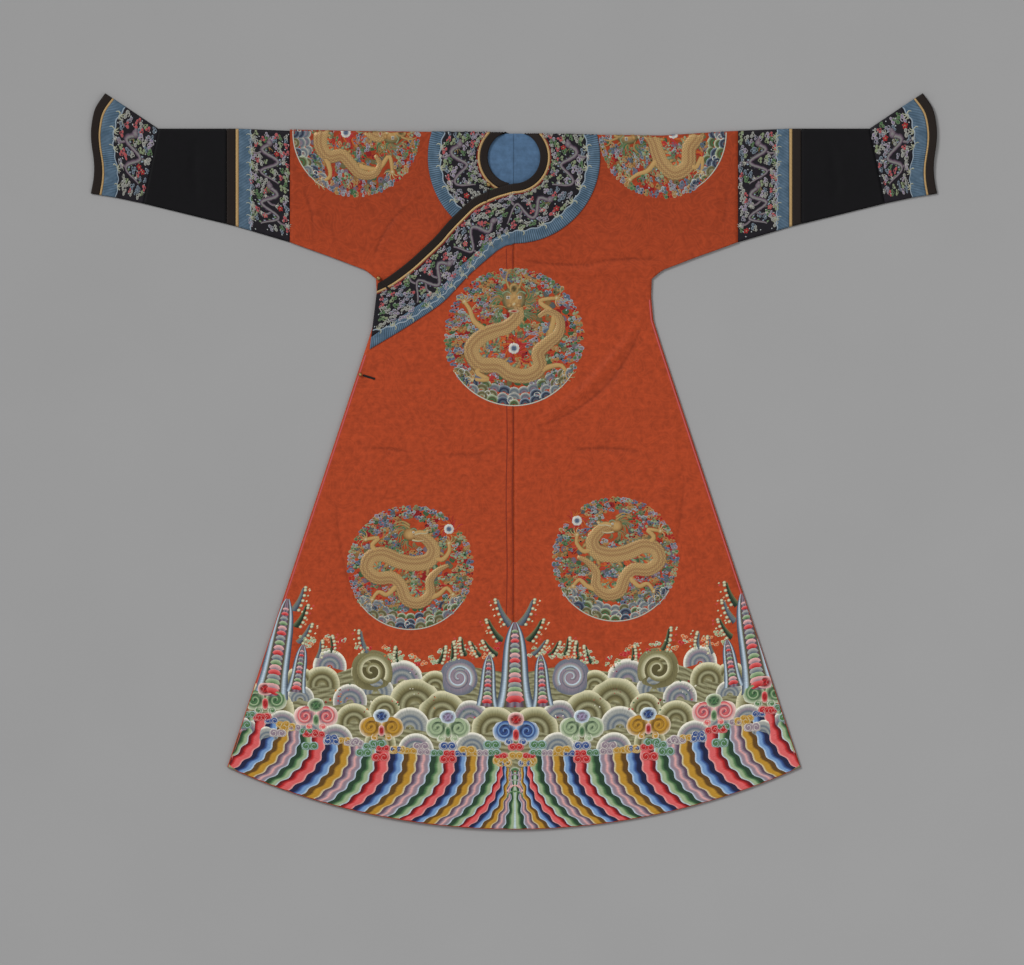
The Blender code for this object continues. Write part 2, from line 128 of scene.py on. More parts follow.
# Creases, listed one by one: start (u, v), end (u, v), bow, height (negative is a trough), half width.
CREASES = np.array([
    (0.266, 0.372, 0.036, 0.600, 0.022, 0.0036, 0.0085),
    (0.262, 0.384, 0.048, 0.600, 0.040, -0.0015, 0.0090),
    (0.022, 0.262, 0.170, 0.268, -0.006, -0.0015, 0.0080),
    (0.160, 0.267, 0.300, 0.262, 0.005, -0.0014, 0.0080),
    (0.030, 0.278, 0.290, 0.280, -0.006, 0.0021, 0.0080),
    (-0.009, 0.240, -0.009, 1.000, 0.000, 0.0010, 0.0085),
    (0.114, 0.648, 0.262, 0.652, 0.006, -0.0015, 0.0080),
    (-0.290, 0.645, -0.215, 0.652, 0.004, -0.0016, 0.0080),
    (-0.150, 0.655, -0.020, 0.648, -0.005, -0.0009, 0.0080),
    (-0.428, 0.120, -0.408, 0.214, 0.006, -0.0013, 0.0080),
    (-0.404, 0.100, -0.392, 0.225, -0.004, 0.0016, 0.0080),
    (0.430, 0.118, 0.424, 0.190, 0.003, -0.0011, 0.0080),
    (0.405, 0.060, 0.398, 0.215, 0.008, 0.0011, 0.0080),
    (-0.262, 0.240, -0.160, 0.100, 0.020, 0.0015, 0.0090),
    (-0.285, 0.262, -0.215, 0.150, 0.012, -0.0015, 0.0080),
    (0.268, 0.262, 0.200, 0.120, -0.016, 0.0015, 0.0090),
    (-0.306, 0.560, -0.230, 0.800, -0.012, 0.0014, 0.0100),
    (0.330, 0.600, 0.250, 0.860, 0.014, 0.0014, 0.0110),
    (0.345, 0.700, 0.300, 0.930, 0.010, -0.0010, 0.0080),
    (-0.360, 0.760, -0.318, 0.960, -0.010, -0.0010, 0.0080),
    (-0.086, 0.660, -0.070, 0.980, 0.008, 0.0010, 0.0120),
    (0.092, 0.640, 0.080, 0.960, -0.008, 0.0010, 0.0120),
    (0.640, 0.020, 0.655, 0.150, 0.004, -0.0015, 0.0080),
    (-0.648, 0.015, -0.640, 0.155, -0.005, -0.0015, 0.0080),
    (-0.240, -0.380, -0.040, -0.610, -0.020, 0.0015, 0.0080),
    (0.020, -0.300, 0.280, -0.290, 0.008, -0.0015, 0.0080),
    (-0.280, -0.500, -0.100, -0.505, 0.006, -0.0013, 0.0080),
    (0.110, -0.700, 0.300, -0.690, -0.006, -0.0011, 0.0080),
    (0.425, -0.090, 0.410, -0.205, 0.006, -0.0016, 0.0080),
    (-0.415, -0.080, -0.422, -0.200, 0.005, -0.0016, 0.0080),
    (-0.330, -0.700, -0.290, -0.980, 0.010, 0.0010, 0.0100),
    (0.290, -0.760, 0.350, -1.000, -0.012, 0.0005, 0.0100),
])  # fmt: skip


# ---- the form of the laid robe
def ease(value):
    """0 below 0, 1 above 1, and 3t^2 - 2t^3 between."""
    value = np.clip(value, 0.0, 1.0)
    return value * value * (3.0 - 2.0 * value)


def dip(u):
    """How far the shoulder fold lies below its datum, straight between the table's rows."""
    right = np.interp(np.abs(u), SHOULDER_DIP[:, 0], SHOULDER_DIP[:, 1])
    left = np.interp(np.abs(u), SHOULDER_DIP[:, 0], SHOULDER_DIP[:, 2])
    return np.where(u < 0, right, left)


def hem(u):
    """The hem's arc: a circle of HEM_RADIUS about a point near the neck."""
    return LENGTH - HEM_RADIUS + np.sqrt(np.maximum(HEM_RADIUS**2 - u**2, 0.0))


def side(v):
    return np.interp(v, SIDE[:, 0], SIDE[:, 1])


def lower(u):
    return np.interp(np.abs(u), SLEEVE_LOWER[:, 0], SLEEVE_LOWER[:, 1])


def back_face(u, down):
    """Height of the back's outer face: flat, but raised over the collar that lies under it."""
    reach = np.hypot(u, down + NECK_DOWN)
    return GROUND_PLAY + (TRIM + PLAY) * (1.0 - ease((reach - 0.180) / 0.12))


def front_face(u, down):
    """Height of the front's outer face, softly raised away from every edge."""
    across = np.abs(u)
    sleeve = lower(u) - down
    body = side(down) - across
    inside = ease(np.minimum(np.maximum(sleeve, body), hem(u) - down) / SOFT_EDGE)
    swell = 1.0 + 0.15 * np.sin(9.0 * across + 1.0) * np.sin(7.0 * down)
    return back_face(u, down) + 2 * CLOTH + SEAM + SOFTNESS * inside * swell


def over_lift(u, v):
    """How far the left side's layer stands up where it passes over the right side's."""
    share = ease((0.15 - u) / 0.15) * ease((v - 0.015) / 0.09)
    collar = 1.0 - ease((np.hypot(u, v - NECK_DOWN) - 0.19) / 0.12)
    return share * (CLOTH + PLAY + (TRIM + PLAY + SEAM) * collar)


def crease(u, v):
    """Sum of soft ridges and troughs.

    Each is its height times exp(-(d/w)^2), d being the distance from a parabola that bows
    between its two ends, and fades as sin^0.7 from one end to the other.
    """
    total = np.zeros_like(u)
    for u0, v0, u1, v1, bow, height, width in CREASES:
        run = math.hypot(u1 - u0, v1 - v0)
        along = ((u - u0) * (u1 - u0) + (v - v0) * (v1 - v0)) / run**2
        off = ((u - u0) * (v1 - v0) - (v - v0) * (u1 - u0)) / run
        off = off - 4 * bow * along * (1 - along)
        wander = 0.0012 * np.sin(along * 17.0 + 40 * bow)
        fade = np.sin(np.pi * np.clip(along, 0.0, 1.0)) ** 0.7
        total += height * fade * np.exp(-(((off + wander) / width) ** 2))
    return total


def lay(u, v, lift, over=False):
    """Points (x, y, z) of the laid robe for points (u, v) of the cut, moved out by lift.

    The front and back stand at their own heights; near the shoulder fold, and near a
    sleeve's lower edge, both roll together as the two halves of a round edge.
    """
    line = dip(u)
    deep = np.abs(v - line)
    down = line + deep
    top = front_face(u, np.maximum(down, line + FOLD))
    if over:
        top = top + np.where(v > line, over_lift(u, v), 0.0)
    bottom = back_face(u, down)
    facing = np.where(v >= line, 1.0, -1.0)
    curl = np.clip(1.0 - deep / FOLD, 0.0, 1.0)
    roll = np.clip(1.0 - (lower(u) - down) / FOLD, 0.0, 1.0) * (np.abs(u) > SLEEVE_SEAM) * (down < 0.3)
    rise = np.sqrt(1.0 - curl**2) * np.sqrt(1.0 - roll**2)
    bump = crease(u, v) * np.where(v >= line, 1.0, -0.3) * (1 - curl) * (1 - roll)
    middle = (top + bottom) / 2
    z = middle + facing * rise * ((top - bottom) / 2 + lift) + bump
    y = SHOULDER_Y - down + (curl - roll) * lift
    return np.stack([u, y, z], axis=-1)


# ---- meshes
def new_mesh(name, points, quads, uv=None, colour=None):
    """A mesh from point and quad arrays, smooth, with an optional UV map and colour attribute."""
    mesh = bpy.data.meshes.new(name)
    mesh.vertices.add(len(points))
    mesh.vertices.foreach_set("co", points.astype(np.float32).ravel())
    mesh.loops.add(quads.size)
    mesh.loops.foreach_set("vertex_index", quads.astype(np.int32).ravel())
    mesh.polygons.add(len(quads))
    mesh.polygons.foreach_set("loop_start", np.arange(0, quads.size, 4, dtype=np.int32))
    mesh.polygons.foreach_set("loop_total", np.full(len(quads), 4, np.int32))
    mesh.update(calc_edges=True)
    mesh.polygons.foreach_set("use_smooth", np.ones(len(quads), bool))
    if uv is not None:
        layer = mesh.uv_layers.new(name="cut")
        layer.data.foreach_set("uv", uv[quads.ravel()].astype(np.float32).ravel())
    if colour is not None:
        layer = mesh.color_attributes.new("dye", "FLOAT_COLOR", "POINT")
        rgba = np.concatenate([colour, np.ones((len(colour), 1))], axis=1)
        layer.data.foreach_set("color", rgba.astype(np.float32).ravel())
    mesh.validate()
    made = bpy.data.objects.new(name, mesh)
    bpy.context.scene.collection.objects.link(made)
    return made


def grid_quads(rows, columns, wrap=False):
    """Quads of a grid numbered row by row; wrap joins its last row to its first."""
    index = np.arange(rows * columns).reshape(rows, columns)
    if wrap:
        index = np.concatenate([index, index[:1]])
    return np.stack([index[:-1, :-1], index[:-1, 1:], index[1:, 1:], index[1:, :-1]], -1).reshape(-1, 4)


def facing_up(points, quads):
    """True if the grid's first face on the front has its normal towards +Z."""
    a, b, d = points[quads[:, 0]], points[quads[:, 1]], points[quads[:, 3]]
    return np.cross(b - a, d - a)[:, 2].sum() > 0


def wall_mesh(name, outer, inner, rows, upper, chart, tube=False):
    """A closed wall between two like grids, with its rims; upper marks points that face up."""
    count = len(outer)
    index = np.arange(count).reshape(rows, -1)
    quads = grid_quads(rows, index.shape[1], tube)
    rims = [np.concatenate([index[0, :], index[1:, -1], index[-1, -2::-1], index[-2::-1, 0]])]
    if tube:
        loop = np.concatenate([index, index[:1]])
        rims = [loop[::-1, 0], loop[:, -1]]
    walls = [np.stack([rim[:-1], rim[:-1] + count, rim[1:] + count, rim[1:]], -1) for rim in rims]
    faces = np.concatenate([quads, quads[:, ::-1] + count, *walls])
    if not facing_up(outer, quads[upper[quads[:, 0]]]):
        faces = faces[:, ::-1]
    return new_mesh(f"{name}_cloth", np.concatenate([outer, inner]), faces, np.concatenate([chart, chart]))


def shell(name, u, v, over=False, lift=0.0, wall=CLOTH, chart=None):
    """A thin closed wall over a grid of the cut, charted by the cut unless told otherwise."""
    outer = lay(u, v, lift, over).reshape(-1, 3)
    inner = lay(u, v, lift - wall, over).reshape(-1, 3)
    chart = np.stack([u, v], -1) if chart is None else chart
    return wall_mesh(name, outer, inner, len(u), v.ravel() > 0.02, chart.reshape(-1, 2))


def settle(piece, node):
    """Rides the piece on the robe and lets it stand for its node."""
    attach(piece, "root")
    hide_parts(node)
    return piece


# ---- cloth pieces
def spaced(low, high, step):
    return np.linspace(low, high, max(2, int(round(abs(high - low) / step)) + 1))


def half_outline(down):
    """Outer edge of a body half at this height: sleeve seam, sleeve's lower edge, then side."""
    order = SLEEVE_LOWER[::-1]
    sleeve = np.minimum(np.interp(down, order[:, 1], order[:, 0]), SLEEVE_SEAM - SEAM / 2)
    return np.where(down < 0.300, sleeve, side(down))


def body_grid(downs, inner, sign, columns):
    """Rows of a body half at these heights at its side, each following the hem's curve."""
    outer = half_outline(downs)
    share = np.linspace(0.0, 1.0, columns)[None, :]
    u = inner[:, None] + share * (outer - inner)[:, None]
    bend = ease((downs - 0.45) / 0.84)[:, None]
    v = downs[:, None] + bend * (hem(u) - hem(outer)[:, None])
    return sign * u, v


def neck_half_width(downs, least):
    hole = np.sqrt(np.maximum(NECK_CUT**2 - (downs - NECK_DOWN) ** 2, 0.0))
    return np.maximum(hole, least)


def body_half(name, sign, front_edge):
    """Front and back of a body half in one length over the shoulder."""
    step, columns = 0.0072, 57
    fine = np.concatenate([spaced(1.291, 0.33, step), spaced(0.325, 0.02, 0.0062)])
    u0, v0 = body_grid(fine, neck_half_width(fine, front_edge), sign, columns)
    crest = np.sin(np.linspace(1.0, -1.0, 9) * np.pi / 2) * FOLD * 1.6
    half = neck_half_width(np.abs(crest) * 0.5, SEAM / 2)
    u1, v1 = body_grid(np.zeros(9) + 0.004, half, sign, columns)
    v1 = dip(u1) + crest[:, None]
    back = fine[::-1]
    u2, v2 = body_grid(back, neck_half_width(-back, SEAM / 2), sign, columns)
    v2 = 2 * dip(u2) - v2
    u, v = np.concatenate([u0, u1, u2]), np.concatenate([v0, v1, v2])
    piece = shell(name, u, v, over=sign > 0)
    return settle(piece, name)


def overlap_piece():
    """The extra front: fanned rows from the centre seam to the side, below the flap's edge."""
    downs = spaced(1.291, 0.60, 0.0085)
    u0, v0 = body_grid(downs, np.full(len(downs), SEAM / 2), -1, 52)
    share = np.linspace(0.0, 1.0, 52)[None, :]
    mix = np.linspace(0.0, 1.0, 50)[1:, None]
    centre = v0[-1, 0] + (0.165 - v0[-1, 0]) * mix
    edge_v = 0.60 + (0.372 - 0.60) * mix
    edge_u = side(edge_v)
    bow = hem(edge_u * share) - hem(edge_u) - (hem(0.0) - hem(edge_u)) * (1 - share)
    bow *= ease((edge_v - 0.45) / 0.84)
    u1 = -(SEAM / 2 + share * (edge_u - SEAM / 2))
    v1 = centre + share * (edge_v - centre) + bow
    u, v = np.concatenate([u0, u1]), np.concatenate([v0, v1])
    piece = shell("front_overlap", u, v, over=True)
    return settle(piece, "front_overlap")


def lining_piece(side_name, sign):
    """Half of the lining that shows inside the neck, on the back's inner face."""
    down = spaced(0.0, 0.132, 0.004)[:, None]
    half = 0.078 * np.sqrt(np.maximum(1 - ((down - NECK_DOWN) / 0.085) ** 2, 0.04))
    share = np.linspace(0.0, 1.0, 22)[None, :]
    u = SEAM / 2 + share * (half - SEAM / 2) + 0 * down
    top = 0.0050 + 0.0050 * ease((u - 0.015) / 0.02)
    v = top + (0.132 - top) * down / 0.132
    tuck = 0.0006 * np.exp(-((u / 0.004) ** 2)) + 0.0004 * np.sin(38 * u + 21 * v)
    height = back_face(u, v) + CLOTH + SEAM + LINING_WALL + tuck
    points = np.stack([sign * u, SHOULDER_Y - v, height], -1).reshape(-1, 3)
    below = points - np.array([0, 0, LINING_WALL])
    name = f"lining_{side_name}"
    chart = np.stack([u, v], -1).reshape(-1, 2)
    piece = wall_mesh(name, points, below, len(u), np.ones(len(points), bool), chart)
    return settle(piece, name)




def strip_between(inner, outer, near, far, cells):
    """Grid across a strip, from near to far of its neck edge; a negative one counts from the outer edge."""
    width = np.hypot(*(outer - inner).T)[:, None]
    start = (near if near >= 0 else width + near) + SEAM / 2
    stop = (far if far > 0 else width + far) - SEAM / 2
    share = (start + np.linspace(0, 1, cells)[None, :] * (stop - start)) / width
    grid = inner[:, None, :] + share[..., None] * (outer - inner)[:, None, :]
    return grid[..., 0], grid[..., 1], share * width


def spline(points, t):
    """A Catmull-Rom curve through rows of points; t counts the rows."""
    last = len(points) - 1
    i = np.minimum(t.astype(int), last - 1)
    f = (t - i)[:, None]
    a, b, c, d = (points[np.clip(i + k, 0, last)] for k in (-1, 0, 1, 2))
    return 0.5 * (2 * b + (c - a) * f + (2 * a - 5 * b + 4 * c - d) * f**2 + (3 * b - a - 3 * c + d) * f**3)


def smooth_rows(points, count):
    """Rows of points made into count even steps of a smooth curve."""
    return spline(points, np.linspace(0, len(points) - 1, count))


def collar_edges(label):
    """Neck edge and outer edge of a collar strip, from the centre back to its end, as rows."""
    sign = 1 if label == "over" else -1
    last = 0.0 if label == "over" else math.radians(11.25)
    turn = np.linspace(math.pi - SEAM / 2 / NECK_RADIUS, last, 230 if label == "over" else 215)
    heading = np.stack([sign * np.sin(turn), np.cos(turn)], -1)
    centre = np.array([0.0, NECK_DOWN])
    inner, outer = centre + heading * NECK_RADIUS, centre + heading * COLLAR_RADIUS
    if label == "under":
        return inner, outer
    start = np.array([[inner[-1, 0], inner[-1, 1], outer[-1, 0], outer[-1, 1]]])
    flap = smooth_rows(np.concatenate([start, FLAP]), 95)[1:]
    return np.concatenate([inner, flap[:, :2]]), np.concatenate([outer, flap[:, 2:]])


def collar_run(inner, outer):
    """Length along the middle of a collar strip, from the centre back to each row."""
    return np.concatenate([[0], np.cumsum(np.hypot(*np.diff((inner + outer) / 2, axis=0).T))])


COLLAR_LAYOUT = (
    ("binding", 0.0, NECK_BINDING, 7, "binding"),
    ("braid", NECK_BINDING, NECK_BINDING + NECK_BRAID, 3, "braid"),
    ("band", NECK_BINDING + NECK_BRAID, -WAVE_BORDER, 20, "navy"),
    ("border", -WAVE_BORDER, 0.0, 8, "wave_blue"),
)


def collar_pieces(label):
    inner, outer = collar_edges(label)
    run = collar_run(inner, outer)
    made = []
    for piece, near, far, cells, slot_name in COLLAR_LAYOUT:
        u, v, across = strip_between(inner, outer, near, far, cells)
        chart = np.stack([run[:, None] + 0 * u, across], -1)
        name = f"collar_{label}_{piece}"
        top = PLAY + TRIM
        obj = shell(name, u, v, over=label == "over", lift=top, wall=TRIM, chart=chart)
        settle(obj, name)
        made.append(obj)
    return made


def sleeve_line(across, s):
    """The line across a sleeve at this distance, s running from its lower edge to its top."""
    low, high = lower(across), float(np.interp(across, SHOULDER_DIP[:, 0], SHOULDER_DIP[:, 2]))
    return np.stack([across + 0 * s, low + (high - low) * s], -1)


def seam_line(s):
    return CUFF_SEAM[0] + (CUFF_SEAM[1] - CUFF_SEAM[0]) * s[:, None]


def cuff_line(inward, s):
    """The cuff's outer edge, rounded through its points, moved towards the arm."""
    edge = spline(CUFF_EDGE, np.clip(s, 0, 1) * (len(CUFF_EDGE) - 1))
    return edge + inward * (CUFF_INWARD[0] + (CUFF_INWARD[1] - CUFF_INWARD[0]) * s[:, None])


EDGES = (0.0, CUFF_BINDING, CUFF_BINDING + CUFF_BRAID, CUFF_BINDING + CUFF_BRAID + CUFF_WAVE)
# Lines between a sleeve's rings, from the body outwards; each takes s and gives points.
SLEEVE_SEAMS = (SLEEVE_SEAM, 0.534, 0.559, 0.565, 0.583)
RING_LINES = [functools.partial(sleeve_line, across) for across in SLEEVE_SEAMS] + [seam_line]
RING_LINES += [functools.partial(cuff_line, inward) for inward in EDGES[::-1]]
# Each ring, from its line to the next: name, columns, extra height, slot.
RINGS = (
    ("sleeve_band", 16, 0.0, "navy"), ("sleeve_border", 8, 0.0, "wave_blue"),
    ("sleeve_braid", 4, 0.0006, "braid"), ("sleeve_binding", 7, 0.0004, "binding"),
    ("sleeve_extension", 28, 0.0, "black"), ("cuff_band", 16, 0.0, "navy"),
    ("cuff_border", 8, 0.0, "wave_blue"), ("cuff_braid", 4, 0.0006, "braid"),
    ("cuff_binding", 7, 0.0004, "binding"),
)  # fmt: skip


def ring_place(u, v, lift, back, edge):
    """lay() for a ring: front and back meet in a round edge at both of its long edges.

    edge is the distance to the nearer long edge, so the roll follows the cuff's slanted top too.
    """
    top, bottom = front_face(u, v), back_face(u, v)
    roll = np.clip(1.0 - edge / FOLD, 0.0, 1.0)
    rise = np.sqrt(1.0 - roll**2)
    bump = crease(u, np.where(back, -v, v)) * (1 - roll) * np.where(back, -0.3, 1.0)
    facing = np.where(back, -1.0, 1.0)
    z = (top + bottom) / 2 + facing * rise * ((top - bottom) / 2 + lift) + bump
    return np.stack([u, SHOULDER_Y - v, z], -1)


def ring_piece(label, sign, number):
    """A flattened tube of sleeve: its front, its back, the same inside, and its two rims."""
    piece, columns, extra, slot_name = RINGS[number]
    turn = np.linspace(0.0, 1.0, 52)
    s = (0.5 - 0.5 * np.cos(np.pi * turn)) * 0.35 + turn * 0.65
    first, last = RING_LINES[number](s), RING_LINES[number + 1](s)
    length = np.hypot(*(first - last).T).mean()
    share = np.linspace(SEAM / 2 / length, 1 - SEAM / 2 / length, columns)[None, :, None]
    flat = first[:, None, :] + share * (last - first)[:, None, :]
    u, v = flat[..., 0], flat[..., 1]
    width = np.hypot(u[0] - u[-1], v[0] - v[-1])
    edge = np.minimum(s, 1 - s)[:, None] * width[None, :]
    loops = []
    inside = -CLOTH if slot_name != "braid" else extra - TRIM
    for lift in (extra, inside):
        front = ring_place(sign * u, v, lift, np.zeros_like(u, bool), edge)
        back = ring_place(sign * u, v, min(lift, 0.0), np.ones_like(u, bool), edge)
        rows = np.concatenate([front, back[-2:0:-1]])
        if lift < 0:
            mid = rows[..., 1].mean(0)
            rows[..., 1] = mid + (rows[..., 1] - mid) * (1 - 2 * CLOTH / width)
        loops.append(rows.reshape(-1, 3))
    along = share[0, :, 0][None, :] * length + 0 * u
    climb = s[:, None] * width[None, :]
    climb = np.concatenate([climb, 2 * width[None, :] - climb[-2:0:-1]])
    chart = np.stack([climb, np.concatenate([along, along[-2:0:-1]])], -1).reshape(-1, 2)
    name = f"{label}_{piece}"
    upper = np.arange(len(chart)) < (len(s) - 2) * columns
    obj = wall_mesh(name, *loops, 2 * len(s) - 2, upper, chart, tube=True)
    return settle(obj, name)


# ---- materials
def linear(red, green, blue):
    """Linear colour of a display colour given in 0 to 255."""
    shares = (red / 255, green / 255, blue / 255)
    return tuple(((c + 0.055) / 1.055) ** 2.4 if c > 0.04 else c / 12.92 for c in shares)


class Graph:
    """Adds nodes to a node tree and links them in one call."""

    def __init__(self, tree):
        self.tree = tree

    def put(self, kind, settings=None, **inputs):
        node = self.tree.nodes.new(kind)
        for key, value in (settings or {}).items():
            setattr(node, key, value)
        for key, value in inputs.items():
            name = key.replace("_", " ")
            socket = node.inputs[int(key[1:])] if key[0] == "i" and key[1:].isdigit() else node.inputs[name]
            if isinstance(value, bpy.types.NodeSocket):
                self.tree.links.new(value, socket)
            else:
                socket.default_value = value
        return node

    def math(self, operation, *values):
        inputs = {f"i{i}": value for i, value in enumerate(values)}
        return self.put("ShaderNodeMath", {"operation": operation}, **inputs).outputs[0]

    def times(self, a, b):
        return self.math("MULTIPLY", a, b)

    def minus(self, a, b):
        return self.math("SUBTRACT", a, b)

    def mix(self, factor, a, b):
        return self.put("ShaderNodeMix", {"data_type": "RGBA"}, i0=factor, i6=a, i7=b).outputs[2]

    def spread(self, value, low, high, least=0.0, most=1.0):
        """The value's span from low to high, widened to run from least to most."""
        spans = {"From_Min": low, "From_Max": high, "To_Min": least, "To_Max": most}
        return self.put("ShaderNodeMapRange", Value=value, **spans).outputs[0]

    def scaled(self, colour, factor):
        node = self.put("ShaderNodeVectorMath", {"operation": "SCALE"}, i0=colour, Scale=factor)
        return node.outputs[0]

    def chart(self):
        """The piece's own UV map, then its two parts."""
        chart = self.put("ShaderNodeUVMap", {"uv_map": "cut"}).outputs[0]
        axes = self.put("ShaderNodeSeparateXYZ", i0=chart).outputs
        return chart, axes[0], axes[1]

    def shared(self, name, make, **inputs):
        """A node of the group of this name, which is made on first use."""
        tree = bpy.data.node_groups.get(name) or make()
        return self.put("ShaderNodeGroup", {"node_tree": tree}, **inputs).outputs

    def finish(self, shader, colour, height, strength, distance, rough, metal=0.0):
        """Links the colour and a bump to the shader, and sets how rough and metallic it is."""
        bump = self.put("ShaderNodeBump", Strength=strength, Distance=distance, Height=height)
        self.tree.links.new(bump.outputs[0], shader.inputs["Normal"])
        self.tree.links.new(colour, shader.inputs["Base Color"])
        shader.inputs["Metallic"].default_value = metal
        shader.inputs["Roughness"].default_value = rough

    def ramp(self, value, *stops):
        """A colour ramp through (place, colour) stops."""
        node = self.put("ShaderNodeValToRGB", i0=value)
        points = node.color_ramp.elements
        while len(points) < len(stops):
            points.new(0.5)
        for point, (place, colour) in zip(points, stops):
            point.position, point.color = place, (*colour, 1.0)
        return node.outputs[0]


def new_group(name, inputs, outputs):
    """An empty node group of numbers: its graph, its inputs, each with a default, and its outputs."""
    tree = bpy.data.node_groups.new(name, "ShaderNodeTree")
    for label, default in inputs.items():
        socket = tree.interface.new_socket(label, in_out="INPUT", socket_type="NodeSocketFloat")
        socket.default_value = default
    for label in outputs:
        tree.interface.new_socket(label, in_out="OUTPUT", socket_type="NodeSocketFloat")
    graph = Graph(tree)
    return graph, graph.put("NodeGroupInput").outputs, graph.put("NodeGroupOutput").inputs


def put_out(graph, out, *values):
    """Links a group's values to its outputs, in order."""
    for value, socket in zip(values, out):
        graph.tree.links.new(value, socket)
    return graph.tree


def weave_group():
    """Woven cloth from Object coordinates: a height of crossed yarns, a mottle and a slub mask."""
    inputs = {"Yarns per metre": 900.0, "Mottle size": 90.0}
    graph, given, out = new_group("Woven cloth", inputs, ("Height", "Mottle", "Slub"))
    place = graph.put("ShaderNodeTexCoord").outputs["Object"]
    axes = graph.put("ShaderNodeSeparateXYZ", i0=place).outputs
    yarns = [graph.math("SINE", graph.times(axis, given[0])) for axis in axes[:2]]
    cloudy = graph.put("ShaderNodeTexNoise", Vector=place, Scale=given[1], Detail=5.0, Roughness=0.62)
    long = graph.put("ShaderNodeMapping", Vector=place, Scale=(14.0, 300.0, 14.0)).outputs[0]
    slub = graph.put("ShaderNodeTexNoise", Vector=long, Scale=1.0, Detail=3.0)
    return put_out(graph, out, graph.times(*yarns), cloudy.outputs[0], slub.outputs[0])


def damask_group():
    """Self-coloured figure of a damask ground: small curled clouds from a warped, banded noise."""
    graph, given, out = new_group("Damask figure", {"Size": 24.0}, ("Figure",))
    place = graph.put("ShaderNodeTexCoord").outputs["Object"]
    field = graph.put("ShaderNodeTexNoise", Vector=place, Scale=given[0], Detail=0.0, Distortion=1.6)
    bands = graph.math("SINE", graph.times(field.outputs[0], 34.0))
    return put_out(graph, out, graph.spread(bands, 0.15, 0.65))


def crease_group():
    """The sharp line along the bottom of each trough of CREASES, on the cut's own UV map, which paints shade
    into the ground silk and deepens its bump.

    A line is exp(-(d/w)^2) of the distance d from the trough's parabola, faded to its ends
    as the root of along (1 - along), and weighted by the trough's depth.
    """
    graph, given, out = new_group("Crease lines", {"Line width": 0.0032}, ("Line",))
    _, u, v = graph.chart()
    total = 0.0
    for u0, v0, u1, v1, bow, height, _ in CREASES[CREASES[:, 5] < 0]:
        run = math.hypot(u1 - u0, v1 - v0)
        way = ((u1 - u0) / run, (v1 - v0) / run)
        start = [graph.minus(u, u0), graph.minus(v, v0)]
        parts = [graph.times(part, share / run) for part, share in zip(start, way)]
        along = graph.math("ADD", *parts)
        parts = [graph.times(part, share) for part, share in zip(start, way[::-1])]
        off = graph.minus(*parts)
        arch = graph.times(along, graph.minus(1.0, along))
        arch = graph.math("MAXIMUM", arch, 0.0)
        off = graph.minus(off, graph.times(arch, 4 * bow))
        off = graph.math("DIVIDE", off, given[0])
        bell = graph.math("EXPONENT", graph.times(graph.times(off, off), -1.0))
        fade = graph.math("POWER", arch, 0.5)
        mark = graph.times(graph.times(bell, fade), -height * 1500)
        total = graph.math("ADD", mark, total)
    return put_out(graph, out, graph.math("MINIMUM", total, 1.0))


def thread_group():
    """Stitched lines: two down the centre front, and a red piping down each side."""
    graph, given, out = new_group("Satin threads", {"Threads per metre": 5200.0}, ("Height", "Value"))
    _, along, across = graph.chart()
    count = graph.times(along, given[0])
    pair = graph.put("ShaderNodeCombineXYZ", i0=count, i1=graph.times(across, 130.0))
    tone = graph.put("ShaderNodeTexNoise", Vector=pair.outputs[0], Scale=0.45, Detail=2.0)
    return put_out(graph, out, graph.math("ABSOLUTE", graph.math("SINE", count)), tone.outputs[0])


def new_material(name):
    material = bpy.data.materials.new(name)
    material.use_nodes = True
    material.node_tree.nodes.clear()
    graph = Graph(material.node_tree)
    shader = graph.put("ShaderNodeBsdfPrincipled")
    graph.put("ShaderNodeOutputMaterial", Surface=shader.outputs[0])
    return material, graph, shader


def set_sheen(shader, weight, tint):
    """Cloth's weak gloss, and a little sheen of this tint."""
    shader.inputs["Specular IOR Level"].default_value = 0.14
    shader.inputs["Sheen Weight"].default_value = weight
    shader.inputs["Sheen Roughness"].default_value = 0.45
    shader.inputs["Sheen Tint"].default_value = (*tint, 1.0)


def shade(dye, factor):
    """A dye made darker or lighter, as a node's colour."""
    return (*(min(1.0, c * factor) for c in dye), 1.0)


def cloth_material(name, dye, figure=0.0, rough=0.62, mottle=0.20, sheen=0.05, yarns=2600.0, shoulder_dark_and_crease_shade=0.0):
    """Plain or damask silk: the dye in soft patches over a fine weave.

    The last argument makes the dye darker towards the shoulders and paints shade along the bottom of the
    crease troughs.
    """
    material, graph, shader = new_material(name)
    height, patches, slubs = graph.shared("Woven cloth", weave_group, Yarns_per_metre=yarns)[:3]
    colour = graph.mix(graph.spread(patches, 0.32, 0.68), shade(dye, 1 - mottle), shade(dye, 1 + mottle))
    colour = graph.mix(graph.spread(slubs, 0.35, 0.7, most=0.22), colour, shade(dye, 0.62))
    if shoulder_dark_and_crease_shade:
        place = graph.put("ShaderNodeTexCoord").outputs["Object"]
        down = graph.put("ShaderNodeSeparateXYZ", i0=place).outputs[1]
        # The dye grows darker towards the shoulders as the object's y rises.
        colour = graph.mix(graph.spread(down, 0.28, 0.62, most=shoulder_dark_and_crease_shade), colour, shade(dye, 0.5))
        lines = graph.shared("Crease lines", crease_group)[0]
        # Painted shade: the dye is darkened along the bottom of each crease trough, where the bump is
        # deepened too.
        colour = graph.mix(graph.times(lines, 0.55), colour, shade(dye, 0.45))
        height = graph.minus(height, graph.times(lines, 7.0))
    if figure:
        damask = graph.shared("Damask figure", damask_group)[0]
        colour = graph.mix(graph.times(damask, figure), colour, shade(dye, 1.5))
        gloss = graph.minus(rough, graph.times(damask, 0.14))
        graph.tree.links.new(gloss, shader.inputs["Roughness"])
    graph.finish(shader, colour, height, 0.25, 0.0002, rough)
    set_sheen(shader, sheen, [c * (1 + mottle) for c in dye])
    return material


